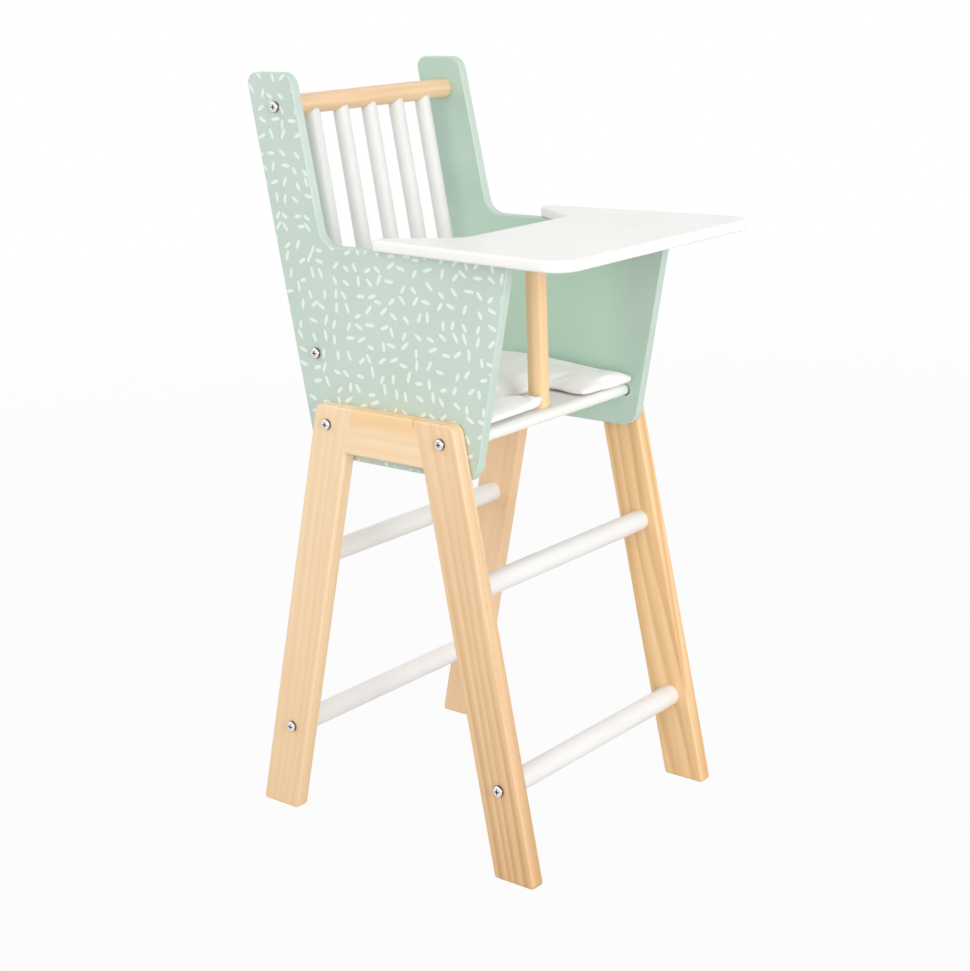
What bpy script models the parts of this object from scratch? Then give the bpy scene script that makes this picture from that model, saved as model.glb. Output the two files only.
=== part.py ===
# High chair for dolls: two printed side panels on A-shaped leg frames, a seat board with a
# loose cushion, a back of turned spindles, and a tray that lifts off together with its post.
# Metres, +Z up. The origin is on the floor under the middle of the chair, whose front faces -Y.
# "left" is the -X side and "right" the +X side. A y is a place from front to rear.

import math

import bmesh
import bpy
from mathutils import Matrix, Vector
from mathutils.geometry import delaunay_2d_cdt

for old_object in list(bpy.data.objects):
    bpy.data.objects.remove(old_object, do_unlink=True)

# Fits
FIT_GAP = 0.0003                  # between pieces that touch, or that sit in each other
SLIDING_GAP = 0.0005              # round what lifts in and out
CUT_OVERRUN = 0.004               # how far a cutter starts outside the face it enters
SMALLEST_EDGE = 0.00001           # vertices nearer than this are one

# Heights: the seat is set first, and the rest stands above or hangs below its top
SEAT_TOP_HEIGHT = 0.3143
BACK_RISE = 0.2557                # from the seat to the top of the side panels
ARMREST_RISE = 0.1272
LOWER_RAIL_RISE = 0.0451
LEG_TOP_RISE = 0.0097
PANEL_DROP = 0.0331               # how far the side panels reach below the seat's top
PANEL_TOP_HEIGHT = SEAT_TOP_HEIGHT + BACK_RISE
ARMREST_HEIGHT = SEAT_TOP_HEIGHT + ARMREST_RISE
LEG_TOP_HEIGHT = SEAT_TOP_HEIGHT + LEG_TOP_RISE
PANEL_BOTTOM_HEIGHT = SEAT_TOP_HEIGHT - PANEL_DROP

# Side panels
PANEL_SPACING = 0.190             # between the two inner faces
PANEL_THICKNESS = 0.008
PANEL_TOP_REAR_Y = 0.1573
PANEL_TOP_FRONT_Y = 0.1105
ARMREST_REAR_Y = 0.0837
ARMREST_FRONT_Y = -0.0931
PANEL_BOTTOM_FRONT_Y = -0.0590
PANEL_BOTTOM_REAR_Y = 0.0965
PANEL_TOP_REAR_RADIUS = 0.009
PANEL_TOP_FRONT_RADIUS = 0.012
PANEL_BOTTOM_RADIUS = 0.015
ARMREST_FILLET_RADIUS = 0.015
ARMREST_FRONT_RADIUS = 0.004
PANEL_EDGE_RADIUS = 0.001

# Leg frames: a front and a rear leg with a rail let in between their tops
LEG_THICKNESS = 0.012
LEG_WIDTH = 0.0355                # front to rear, measured level
FRONT_LEG_FOOT_Y = -0.0932        # middle of the leg on the floor
FRONT_LEG_TOP_Y = -0.0311         # middle of the leg at its top
REAR_LEG_FOOT_Y = 0.1377
REAR_LEG_TOP_Y = 0.0660
FRONT_LEG_TOP_RADIUS = 0.008
REAR_LEG_TOP_RADIUS = 0.005
FOOT_RADIUS = 0.0026
LEG_EDGE_RADIUS = 0.0018
RAIL_WIDTH = 0.0346
FRAME_DOWEL_DIAMETER = 0.006
FRAME_DOWEL_LENGTH = 0.024
FRAME_DOWEL_CHAMFER = 0.0006

# Rungs between the two leg frames
RUNG_DIAMETER = 0.016
RUNG_CHAMFER = 0.0006
UPPER_RUNG_HEIGHT = 0.2038
LOWER_RUNG_HEIGHT = 0.0660
UPPER_RUNG_SOCKET = 0.007         # how deep an upper rung sits in a leg
FRONT_UPPER_RUNG_OFFSET = -0.0021    # from the middle of the leg, to the rear
FRONT_LOWER_RUNG_OFFSET = -0.0016
REAR_UPPER_RUNG_OFFSET = 0.0003
REAR_LOWER_RUNG_OFFSET = -0.0020

# Seat board, which sits in a groove in each side panel
SEAT_THICKNESS = 0.009
SEAT_FRONT_Y = -0.0527
SEAT_REAR_Y = 0.0900
SEAT_REAR_RADIUS = 0.0012
SEAT_NOSE_RADIUS = 0.0044
GROOVE_DEPTH = 0.004
GROOVE_END_ROOM = 0.0025          # the groove runs this far past the board's front edge
GROOVE_END_RADIUS = 0.0047

# Back: two round rails between the side panels, with spindles between the rails
BACK_RAIL_DIAMETER = 0.016
BACK_RAIL_CHAMFER = 0.0006
TOP_RAIL_DROP = 0.0260            # from the top of the side panels
TOP_RAIL_SETBACK = 0.02543        # from the side panels' rear edge, at the rail's height
LOWER_RAIL_SETBACK = 0.02026
SPINDLE_DIAMETER = 0.0125
SPINDLE_SPACING = 0.0325
SPINDLE_COUNT = 5
SPINDLE_SOCKET = 0.005            # how deep a spindle enters a rail
SPINDLE_CHAMFER = 0.0004

# Tray
TRAY_THICKNESS = 0.0085
TRAY_FRONT_Y = -0.1552
TRAY_REAR_Y = 0.0304
TRAY_FRONT_OVERHANG = 0.0210      # past a side panel's outer face
TRAY_REAR_OVERHANG = 0.0050
TRAY_FRONT_RADIUS = 0.019
TRAY_ARM_BEARING = 0.0060         # how much of a panel's thickness an arm's end covers
TRAY_ARM_END_RADIUS = 0.0045
TRAY_ARM_INNER_RADIUS = 0.003
BELLY_NARROWING = 0.0308          # from the arms' ends to the cut-out's front, each side
BELLY_EDGE_Y = -0.0225
BELLY_RADIUS = 0.020
TRAY_EDGE_RADIUS = 0.0022

# Post and pegs that carry and locate the tray
POST_DIAMETER = 0.016
POST_CHAMFER = 0.0008
POST_Y = -0.0379
POST_SOCKET = 0.004               # how deep the post is glued into the tray
PEG_DIAMETER = 0.0045
PEG_CHAMFER = 0.0004
PEG_DEPTH = 0.010                 # how deep a peg reaches into the armrest

# Cushion: a flat bag, thin at the front, notched round the post
CUSHION_SIDE_GAP = 0.0010
CUSHION_LEFT_FRONT_Y = -0.0510
CUSHION_RIGHT_FRONT_Y = -0.0560
CUSHION_REAR_Y = 0.0800
CUSHION_CORNER_RADIUS = 0.005
CUSHION_FRONT_THICKNESS = 0.0070
CUSHION_REAR_THICKNESS = 0.0130
CUSHION_CROWN = 0.0035            # how far the middle stands above the rim
CUSHION_CROWN_REACH = 0.040       # how far from the rim the crown is full
CUSHION_DRAW_IN = 0.0018          # how far the sides pull in between the corners
CUSHION_MESH_STEP = 0.015
CUSHION_RING_SHARES = (0.15, 0.5, 1.1, 2.2)    # rings inside the rim, in halves of its thickness
CUSHION_RING_CLEAR_SHARE = 0.9    # of a ring's reach, which its points keep from the whole rim
CUSHION_GRID_CLEAR_SHARE = 3      # halves of the rim's thickness that the inner grid keeps from it
NOTCH_LIP_X = -0.0045
NOTCH_LEFT_X = -0.0108
NOTCH_RIGHT_X = 0.0440
NOTCH_BEND_Y = -0.0400            # where the notch's left side bends towards the lip
NOTCH_REAR_Y = -0.0120
NOTCH_RADIUS = 0.009

# Pan-head wood screws
SCREW_HEAD_DIAMETER = 0.0082
SCREW_HEAD_HEIGHT = 0.0024
SCREW_HEAD_WALL = 0.0006
SCREW_SHANK_DIAMETER = 0.0040
SCREW_TIP_LENGTH = 0.0040
BACK_SCREW_LENGTH = 0.028
RUNG_SCREW_LENGTH = 0.035
SEAT_SCREW_LENGTH = 0.042
SEAT_SCREW_OFFSET = 0.0037        # from the middle of a leg, away from the rail

# Facets
ROUND_PROFILE = 0.5               # makes a bevel's section a quarter circle
ARC_STEP = math.radians(15)
EDGE_SEGMENTS = 2
ROD_FACETS = 28
SPINDLE_FACETS = 24
SCREW_FACETS = 16
HEAD_STEPS = 3
SMOOTH_LIMIT = math.radians(35)

# Places worked out from the sizes above
PANEL_INNER_X = PANEL_SPACING / 2
PANEL_OUTER_X = PANEL_INNER_X + PANEL_THICKNESS
LEG_INNER_X = PANEL_OUTER_X + FIT_GAP
LEG_OUTER_X = LEG_INNER_X + LEG_THICKNESS
RAIL_BOTTOM_HEIGHT = LEG_TOP_HEIGHT - RAIL_WIDTH
SEAT_MIDDLE_HEIGHT = SEAT_TOP_HEIGHT - SEAT_THICKNESS / 2
TOP_RAIL_HEIGHT = PANEL_TOP_HEIGHT - TOP_RAIL_DROP
LOWER_RAIL_HEIGHT = SEAT_TOP_HEIGHT + LOWER_RAIL_RISE
TRAY_ARM_INNER_X = PANEL_OUTER_X - TRAY_ARM_BEARING
TRAY_BOTTOM_HEIGHT = ARMREST_HEIGHT + FIT_GAP
TRAY_TOP_HEIGHT = TRAY_BOTTOM_HEIGHT + TRAY_THICKNESS
PEG_X = (PANEL_INNER_X + PANEL_OUTER_X) / 2
SIDES = {"left": -1, "right": 1}


# Materials

def linear(level):
    """A display level from 0 to 1 as the linear value that a shader takes."""
    if level <= 0.04045:
        return level / 12.92
    return ((level + 0.055) / 1.055) ** 2.4


def material(name, display_colour, roughness, metallic=0):
    made = bpy.data.materials.new(name)
    made.use_nodes = True
    shader = made.node_tree.nodes["Principled BSDF"]
    colour = [linear(level) for level in display_colour]
    shader.inputs["Base Color"].default_value = (*colour, 1)
    shader.inputs["Roughness"].default_value = roughness
    shader.inputs["Metallic"].default_value = metallic
    return made


MINT_PAINT = material("mint_paint", (0.78, 0.86, 0.81), 0.5)
WHITE_PAINT = material("white_paint", (0.93, 0.93, 0.92), 0.45)
PINE = material("pine", (0.93, 0.80, 0.62), 0.55)
BEECH = material("beech", (0.93, 0.79, 0.62), 0.5)
STEEL = material("zinc_steel", (0.78, 0.78, 0.79), 0.3, metallic=1)
CUSHION_CLOTH = material("white_cloth", (0.93, 0.92, 0.90), 0.9)


# Shape helpers

def rounded_outline(corners):
    """Points round a closed outline of (u, v, radius) corners, and the side each point starts.

    A point that starts the straight run after corner i has side i, a point on an arc has None.
    """
    points = []
    sides = []
    for index, (u, v, radius) in enumerate(corners):
        corner = Vector((u, v))
        before = Vector(corners[index - 1][:2])
        after = Vector(corners[(index + 1) % len(corners)][:2])
        way_in = (corner - before).normalized()
        way_out = (after - corner).normalized()
        turn = way_in.angle_signed(way_out)
        setback = radius * math.tan(abs(turn) / 2)
        steps = max(1, round(abs(turn) / ARC_STEP)) if radius else 0
        start = corner - way_in * setback
        centre = start + Matrix.Rotation(math.copysign(math.pi / 2, -turn), 2) @ way_in * radius
        for step in range(steps + 1):
            swing = Matrix.Rotation(-turn * step / max(steps, 1), 2)
            points.append(centre + swing @ (start - centre))
            sides.append(index if step == steps else None)
    return points, sides


def as_node(name, mesh, surface, origin=(0, 0, 0)):
    """Turn a bmesh in world coordinates into a named object whose origin is where it is told."""
    bmesh.ops.recalc_face_normals(mesh, faces=mesh.faces)
    data = bpy.data.meshes.new(name)
    mesh.to_mesh(data)
    mesh.free()
    data.transform(Matrix.Translation(-Vector(origin)))
    data.materials.append(surface)
    data.shade_smooth()
    data.set_sharp_from_angle(angle=SMOOTH_LIMIT)
    made = bpy.data.objects.new(name, data)
    made.location = origin
    bpy.context.scene.collection.objects.link(made)
    return made


def board(name, corners, axis, low, high, surface, edge_radius=0, square_sides=(), origin=(0, 0, 0)):
    """A flat board: an outline given thickness along an axis, with its rims rounded over.

    The outline's corners are (y, z, radius) for a board along X and (x, y, radius) along Z.
    The rims of square_sides stay square, where the board meets a neighbour.
    """
    outline, sides = rounded_outline(corners)
    mesh = bmesh.new()
    rings = []
    for level in (low, high):
        places = [(level, u, v) if axis == "X" else (u, v, level) for u, v in outline]
        rings.append([mesh.verts.new(place) for place in places])
    for ring in rings:
        mesh.faces.new(ring)
    count = len(outline)
    rims = []
    for index in range(count):
        following = (index + 1) % count
        lower, upper = rings
        mesh.faces.new((lower[index], lower[following], upper[following], upper[index]))
        if sides[index] not in square_sides:
            rims += [mesh.edges.get((ring[index], ring[following])) for ring in rings]
    bmesh.ops.recalc_face_normals(mesh, faces=mesh.faces)
    if edge_radius:
        bmesh.ops.bevel(
            mesh,
            geom=rims,
            offset=edge_radius,
            segments=EDGE_SEGMENTS,
            profile=ROUND_PROFILE,
            affect="EDGES",
            clamp_overlap=True,
        )
    return as_node(name, mesh, surface, origin)


def turned(name, profile, start, end, surface, facets=ROD_FACETS):
    """A turned piece: a profile of (radius, distance) points spun round the line from start to end.

    Where the profile stops short of the axis, a flat face closes the end.
    """
    mesh = bmesh.new()
    points = [mesh.verts.new((radius, 0, along)) for radius, along in profile]
    edges = [mesh.edges.new(pair) for pair in zip(points, points[1:])]
    bmesh.ops.spin(
        mesh,
        geom=points + edges,
        cent=(0, 0, 0),
        axis=(0, 0, 1),
        angle=math.tau,
        steps=facets,
        use_merge=True,
    )
    bmesh.ops.remove_doubles(mesh, verts=mesh.verts, dist=SMALLEST_EDGE)
    bmesh.ops.holes_fill(mesh, edges=mesh.edges, sides=facets)
    made = as_node(name, mesh, surface)
    made.location = start
    made.rotation_mode = "QUATERNION"
    made.rotation_quaternion = (Vector(end) - Vector(start)).to_track_quat("Z", "Y")
    return made


def rod(name, start, end, diameter, chamfer, surface, facets=ROD_FACETS):
    radius = diameter / 2
    length = (Vector(end) - Vector(start)).length
    profile = [
        (radius - chamfer, 0),
        (radius, chamfer),
        (radius, length - chamfer),
        (radius - chamfer, length),
    ]
    return turned(name, profile, start, end, surface, facets)


def cut(target, cutter):
    """Take a cutter's shape out of a piece. The cutter stays as a hidden helper."""
    cutter.hide_render = True
    cutter.display_type = "WIRE"
    boolean = target.modifiers.new(cutter.name, "BOOLEAN")
    boolean.operation = "DIFFERENCE"
    boolean.object = cutter


def drill(targets, start, end, diameter, facets=ROD_FACETS):
    """Cut one straight hole through several pieces."""
    hole = rod("hole", start, end, diameter, 0, targets[0].active_material, facets)
    for target in targets:
        cut(target, hole)


# Pieces

def leg_y(foot_y, top_y, height):
    """Middle of a leg, front to rear, at a height."""
    return foot_y + (top_y - foot_y) * height / LEG_TOP_HEIGHT


def front_leg_y(height):
    return leg_y(FRONT_LEG_FOOT_Y, FRONT_LEG_TOP_Y, height)


def rear_leg_y(height):
    return leg_y(REAR_LEG_FOOT_Y, REAR_LEG_TOP_Y, height)


FRONT_UPPER_RUNG_Y = front_leg_y(UPPER_RUNG_HEIGHT) + FRONT_UPPER_RUNG_OFFSET
REAR_UPPER_RUNG_Y = rear_leg_y(UPPER_RUNG_HEIGHT) + REAR_UPPER_RUNG_OFFSET
FRONT_LOWER_RUNG_Y = front_leg_y(LOWER_RUNG_HEIGHT) + FRONT_LOWER_RUNG_OFFSET
REAR_LOWER_RUNG_Y = rear_leg_y(LOWER_RUNG_HEIGHT) + REAR_LOWER_RUNG_OFFSET


def panel_rear_y(height):
    """The side panels' sloping rear edge at a height."""
    way_up = (height - PANEL_BOTTOM_HEIGHT) / (PANEL_TOP_HEIGHT - PANEL_BOTTOM_HEIGHT)
    return PANEL_BOTTOM_REAR_Y + (PANEL_TOP_REAR_Y - PANEL_BOTTOM_REAR_Y) * way_up


TOP_RAIL_Y = panel_rear_y(TOP_RAIL_HEIGHT) - TOP_RAIL_SETBACK
LOWER_RAIL_Y = panel_rear_y(LOWER_RAIL_HEIGHT) - LOWER_RAIL_SETBACK


def make_side_panel(side, sign):
    """The printed board: a low armrest in front, a tall back post behind."""
    corners = [
        (PANEL_BOTTOM_FRONT_Y, PANEL_BOTTOM_HEIGHT, PANEL_BOTTOM_RADIUS),
        (PANEL_BOTTOM_REAR_Y, PANEL_BOTTOM_HEIGHT, PANEL_BOTTOM_RADIUS),
        (PANEL_TOP_REAR_Y, PANEL_TOP_HEIGHT, PANEL_TOP_REAR_RADIUS),
        (PANEL_TOP_FRONT_Y, PANEL_TOP_HEIGHT, PANEL_TOP_FRONT_RADIUS),
        (ARMREST_REAR_Y, ARMREST_HEIGHT, ARMREST_FILLET_RADIUS),
        (ARMREST_FRONT_Y, ARMREST_HEIGHT, ARMREST_FRONT_RADIUS),
    ]
    low, high = sorted((sign * PANEL_INNER_X, sign * PANEL_OUTER_X))
    return board(f"{side}_side_panel", corners, "X", low, high, MINT_PAINT, PANEL_EDGE_RADIUS)


def cut_seat_groove(panel, sign):
    """The stopped groove that takes the seat board's end."""
    bottom = SEAT_TOP_HEIGHT - SEAT_THICKNESS - FIT_GAP
    top = SEAT_TOP_HEIGHT + FIT_GAP
    front = SEAT_FRONT_Y - GROOVE_END_ROOM
    rear = SEAT_REAR_Y + FIT_GAP
    corners = [
        (front, bottom, GROOVE_END_RADIUS),
        (rear, bottom, 0),
        (rear, top, 0),
        (front, top, GROOVE_END_RADIUS),
    ]
    start = PANEL_INNER_X - CUT_OVERRUN
    low, high = sorted((sign * start, sign * (PANEL_INNER_X + GROOVE_DEPTH)))
    cut(panel, board("seat_groove", corners, "X", low, high, MINT_PAINT))


def make_leg(side, sign, end, middle_y, outward):
    """One leg. Its inner edge stays square where the rail butts against it."""
    half = LEG_WIDTH / 2
    inner = -outward * half
    outer = outward * half
    top_radius = FRONT_LEG_TOP_RADIUS if end == "front" else REAR_LEG_TOP_RADIUS
    corners = [
        (middle_y(0) + outer, 0, FOOT_RADIUS),
        (middle_y(0) + inner, 0, FOOT_RADIUS),
        (middle_y(RAIL_BOTTOM_HEIGHT) + inner, RAIL_BOTTOM_HEIGHT, 0),
        (middle_y(LEG_TOP_HEIGHT) + inner, LEG_TOP_HEIGHT, 0),
        (middle_y(LEG_TOP_HEIGHT) + outer, LEG_TOP_HEIGHT, top_radius),
    ]
    low, high = sorted((sign * LEG_INNER_X, sign * LEG_OUTER_X))
    return board(f"{side}_{end}_leg", corners, "X", low, high, PINE, LEG_EDGE_RADIUS, square_sides=(2,))


def make_leg_rail(side, sign):
    """The short rail between the tops of two legs. Only its long edges are rounded."""
    inset = LEG_WIDTH / 2 + FIT_GAP
    corners = [
        (front_leg_y(RAIL_BOTTOM_HEIGHT) + inset, RAIL_BOTTOM_HEIGHT, 0),
        (rear_leg_y(RAIL_BOTTOM_HEIGHT) - inset, RAIL_BOTTOM_HEIGHT, 0),
        (rear_leg_y(LEG_TOP_HEIGHT) - inset, LEG_TOP_HEIGHT, 0),
        (front_leg_y(LEG_TOP_HEIGHT) + inset, LEG_TOP_HEIGHT, 0),
    ]
    low, high = sorted((sign * LEG_INNER_X, sign * LEG_OUTER_X))
    return board(f"{side}_leg_rail", corners, "X", low, high, PINE, LEG_EDGE_RADIUS, square_sides=(1, 3))


def make_frame_dowel(side, sign, end, leg, rail, joint_y):
    """A hidden dowel that pins a leg to the rail's end."""
    x = sign * (LEG_INNER_X + LEG_OUTER_X) / 2
    height = LEG_TOP_HEIGHT - RAIL_WIDTH / 2
    half = FRAME_DOWEL_LENGTH / 2
    start = Vector((x, joint_y - half, height))
    finish = Vector((x, joint_y + half, height))
    room = Vector((0, FIT_GAP, 0))
    drill([leg, rail], start - room, finish + room, FRAME_DOWEL_DIAMETER + 2 * FIT_GAP, SCREW_FACETS)
    name = f"{side}_{end}_frame_dowel"
    rod(name, start, finish, FRAME_DOWEL_DIAMETER, FRAME_DOWEL_CHAMFER, BEECH, SCREW_FACETS)


def make_leg_frame(side, sign):
    front = make_leg(side, sign, "front", front_leg_y, -1)
    rear = make_leg(side, sign, "rear", rear_leg_y, 1)
    rail = make_leg_rail(side, sign)
    height = LEG_TOP_HEIGHT - RAIL_WIDTH / 2
    make_frame_dowel(side, sign, "front", front, rail, front_leg_y(height) + LEG_WIDTH / 2)
    make_frame_dowel(side, sign, "rear", rear, rail, rear_leg_y(height) - LEG_WIDTH / 2)
    return front, rear


def make_upper_rung(name, y, legs):
    """A rung glued into a blind hole in each leg."""
    half = LEG_INNER_X + UPPER_RUNG_SOCKET
    socket = Vector((half, y, UPPER_RUNG_HEIGHT))
    opposite = Vector((-half, y, UPPER_RUNG_HEIGHT))
    drill(legs, opposite, socket, RUNG_DIAMETER + 2 * FIT_GAP)
    room = Vector((FIT_GAP, 0, 0))
    rod(name, opposite + room, socket - room, RUNG_DIAMETER, RUNG_CHAMFER, WHITE_PAINT)


def make_lower_rung(name, y):
    """A rung that butts against the legs and is held by a screw at each end."""
    half = LEG_INNER_X - FIT_GAP
    ends = [(sign * half, y, LOWER_RUNG_HEIGHT) for sign in (-1, 1)]
    return rod(name, *ends, RUNG_DIAMETER, RUNG_CHAMFER, WHITE_PAINT)


def make_back_rail(name, y, height):
    half = PANEL_INNER_X - FIT_GAP
    ends = [(sign * half, y, height) for sign in (-1, 1)]
    return rod(name, *ends, BACK_RAIL_DIAMETER, BACK_RAIL_CHAMFER, BEECH)


def make_spindles(top_rail, lower_rail):
    """Spindles glued into blind holes in the two round rails."""
    foot = Vector((0, LOWER_RAIL_Y, LOWER_RAIL_HEIGHT))
    head = Vector((0, TOP_RAIL_Y, TOP_RAIL_HEIGHT))
    way = (head - foot).normalized()
    start = foot + way * (BACK_RAIL_DIAMETER / 2 - SPINDLE_SOCKET)
    end = head - way * (BACK_RAIL_DIAMETER / 2 - SPINDLE_SOCKET)
    for index in range(SPINDLE_COUNT):
        across = Vector(((index - (SPINDLE_COUNT - 1) / 2) * SPINDLE_SPACING, 0, 0))
        hole = SPINDLE_DIAMETER + 2 * FIT_GAP
        drill([lower_rail], start + across, start + across + way * BACK_RAIL_DIAMETER, hole, SPINDLE_FACETS)
        drill([top_rail], end + across - way * BACK_RAIL_DIAMETER, end + across, hole, SPINDLE_FACETS)
        rod(
            f"back_spindle_{index + 1}",
            start + across + way * FIT_GAP,
            end + across - way * FIT_GAP,
            SPINDLE_DIAMETER,
            SPINDLE_CHAMFER,
            WHITE_PAINT,
            SPINDLE_FACETS,
        )


def make_seat_board():
    """A board across the chair with a round nose, bored for the tray's post."""
    bottom = SEAT_TOP_HEIGHT - SEAT_THICKNESS
    corners = [
        (SEAT_FRONT_Y, bottom, SEAT_NOSE_RADIUS),
        (SEAT_REAR_Y, bottom, SEAT_REAR_RADIUS),
        (SEAT_REAR_Y, SEAT_TOP_HEIGHT, SEAT_REAR_RADIUS),
        (SEAT_FRONT_Y, SEAT_TOP_HEIGHT, SEAT_NOSE_RADIUS),
    ]
    half = PANEL_INNER_X + GROOVE_DEPTH - FIT_GAP
    seat = board("seat_board", corners, "X", -half, half, WHITE_PAINT)
    hole_start = (0, POST_Y, bottom - CUT_OVERRUN)
    hole_end = (0, POST_Y, SEAT_TOP_HEIGHT + CUT_OVERRUN)
    drill([seat], hole_start, hole_end, POST_DIAMETER + 2 * SLIDING_GAP)
    return seat


def make_tray(panels):
    """The tray board with its belly cut-out, its post and its two locating pegs."""
    half = [
        (PANEL_OUTER_X + TRAY_FRONT_OVERHANG, TRAY_FRONT_Y, TRAY_FRONT_RADIUS),
        (PANEL_OUTER_X + TRAY_REAR_OVERHANG, TRAY_REAR_Y, TRAY_ARM_END_RADIUS),
        (TRAY_ARM_INNER_X, TRAY_REAR_Y, TRAY_ARM_INNER_RADIUS),
        (TRAY_ARM_INNER_X - BELLY_NARROWING, BELLY_EDGE_Y, BELLY_RADIUS),
    ]
    corners = half + [(-x, y, radius) for x, y, radius in reversed(half)]
    tray = board(
        "tray_board",
        corners,
        "Z",
        TRAY_BOTTOM_HEIGHT,
        TRAY_TOP_HEIGHT,
        WHITE_PAINT,
        TRAY_EDGE_RADIUS,
        origin=(0, POST_Y, TRAY_BOTTOM_HEIGHT),
    )

    seat_bottom = SEAT_TOP_HEIGHT - SEAT_THICKNESS
    socket_top = TRAY_BOTTOM_HEIGHT + POST_SOCKET
    below = (0, POST_Y, TRAY_BOTTOM_HEIGHT - CUT_OVERRUN)
    drill([tray], below, (0, POST_Y, socket_top), POST_DIAMETER + 2 * FIT_GAP)
    post_top = (0, POST_Y, socket_top - FIT_GAP)
    rod("tray_post", (0, POST_Y, seat_bottom), post_top, POST_DIAMETER, POST_CHAMFER, BEECH)

    for side, sign in SIDES.items():
        foot = Vector((sign * PEG_X, POST_Y, ARMREST_HEIGHT - PEG_DEPTH))
        head = Vector((sign * PEG_X, POST_Y, TRAY_TOP_HEIGHT))
        room = Vector((0, 0, FIT_GAP))
        past = Vector((0, 0, CUT_OVERRUN))
        drill([tray, panels[side]], foot - room, head + past, PEG_DIAMETER + 2 * FIT_GAP, SCREW_FACETS)
        rod(f"tray_{side}_peg", foot, head, PEG_DIAMETER, PEG_CHAMFER, BEECH, SCREW_FACETS)


def rim_distance(place, outline):
    """How far a point is from the nearest stretch of a closed outline."""
    nearest = math.inf
    for start, end in zip(outline, outline[1:] + outline[:1]):
        run = end - start
        share = (place - start).dot(run) / run.length_squared
        nearest = min(nearest, (place - start - run * min(max(share, 0), 1)).length)
    return nearest


def inside(place, outline):
    """Whether a point lies inside a closed outline, by counting the sides it looks past."""
    crossings = 0
    for start, end in zip(outline, outline[1:] + outline[:1]):
        if (start.y > place.y) != (end.y > place.y):
            share = (place.y - start.y) / (end.y - start.y)
            crossings += place.x < start.x + (end.x - start.x) * share
    return crossings % 2 == 1


def cushion_outline():
    """The cushion's rim from above: sides drawn in between the corners, a notch for the post."""
    side_x = PANEL_INNER_X - CUSHION_SIDE_GAP
    corners = [
        (-side_x, CUSHION_LEFT_FRONT_Y, CUSHION_CORNER_RADIUS),
        (NOTCH_LIP_X, CUSHION_LEFT_FRONT_Y, CUSHION_CORNER_RADIUS),
        (NOTCH_LEFT_X, NOTCH_BEND_Y, NOTCH_RADIUS),
        (NOTCH_LEFT_X, NOTCH_REAR_Y, NOTCH_RADIUS),
        (NOTCH_RIGHT_X, NOTCH_REAR_Y, NOTCH_RADIUS),
        (NOTCH_RIGHT_X, CUSHION_RIGHT_FRONT_Y, CUSHION_CORNER_RADIUS),
        (side_x, CUSHION_RIGHT_FRONT_Y, CUSHION_CORNER_RADIUS),
        (side_x, CUSHION_REAR_Y, CUSHION_CORNER_RADIUS),
        (-side_x, CUSHION_REAR_Y, CUSHION_CORNER_RADIUS),
    ]
    notch_sides = (1, 2, 3, 4)
    points, sides = rounded_outline(corners)
    outline = []
    for index, start in enumerate(points):
        end = points[(index + 1) % len(points)]
        outline.append(start)
        if sides[index] is None:
            continue
        run = end - start
        inward = Vector((-run.y, run.x)).normalized()
        draw_in = 0 if sides[index] in notch_sides else CUSHION_DRAW_IN
        pieces = max(1, round(run.length / CUSHION_MESH_STEP))
        for piece in range(1, pieces):
            share = piece / pieces
            outline.append(start + run * share + inward * draw_in * math.sin(math.pi * share))
    return outline


def cushion_plan(outline):
    """Flat triangles that fill the rim, with rings of points near it where the cloth curves most."""
    half_rim = CUSHION_FRONT_THICKNESS / 2
    places = list(outline)
    for ring_share in CUSHION_RING_SHARES:
        reach = half_rim * ring_share
        for index, place in enumerate(outline):
            along = outline[(index + 1) % len(outline)] - outline[index - 1]
            inner = place + Vector((-along.y, along.x)).normalized() * reach
            if rim_distance(inner, outline) > CUSHION_RING_CLEAR_SHARE * reach:
                places.append(inner)
    columns = math.ceil(PANEL_SPACING / CUSHION_MESH_STEP)
    front = CUSHION_RIGHT_FRONT_Y
    rows = math.ceil((CUSHION_REAR_Y - front) / CUSHION_MESH_STEP)
    clear = CUSHION_GRID_CLEAR_SHARE * half_rim
    for column in range(columns + 1):
        for row in range(rows + 1):
            x = (column / columns - 0.5) * PANEL_SPACING
            y = front + (CUSHION_REAR_Y - front) * row / rows
            place = Vector((x, y))
            if inside(place, outline) and rim_distance(place, outline) > clear:
                places.append(place)
    rim = list(range(len(outline)))
    inside_the_face = 1
    plan = delaunay_2d_cdt(places, [], [rim], inside_the_face, SMALLEST_EDGE)
    return plan[0], plan[2]


def make_cushion():
    """A bag of cloth: round at its rim, flat below, crowned above and thicker to the rear."""
    outline = cushion_outline()
    places, triangles = cushion_plan(outline)
    base = SEAT_TOP_HEIGHT + FIT_GAP
    mesh = bmesh.new()
    upper = []
    lower = []
    for place in places:
        way_back = (place.y - CUSHION_RIGHT_FRONT_Y) / (CUSHION_REAR_Y - CUSHION_RIGHT_FRONT_Y)
        thickness = CUSHION_FRONT_THICKNESS + (CUSHION_REAR_THICKNESS - CUSHION_FRONT_THICKNESS) * way_back
        rim = thickness / 2
        distance = rim_distance(place, outline)
        on_rim = distance < SMALLEST_EDGE
        fullness = math.sqrt(1 - (1 - min(distance / rim, 1)) ** 2)
        crown = CUSHION_CROWN * math.sin(math.pi / 2 * min(distance / CUSHION_CROWN_REACH, 1))
        top = mesh.verts.new((*place, base + rim + rim * fullness + crown))
        upper.append(top)
        lower.append(top if on_rim else mesh.verts.new((*place, base + rim - rim * fullness)))
    for triangle in triangles:
        mesh.faces.new([upper[index] for index in triangle])
        mesh.faces.new([lower[index] for index in reversed(triangle)])
    as_node("seat_cushion", mesh, CUSHION_CLOTH, origin=(0, 0, base))


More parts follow.
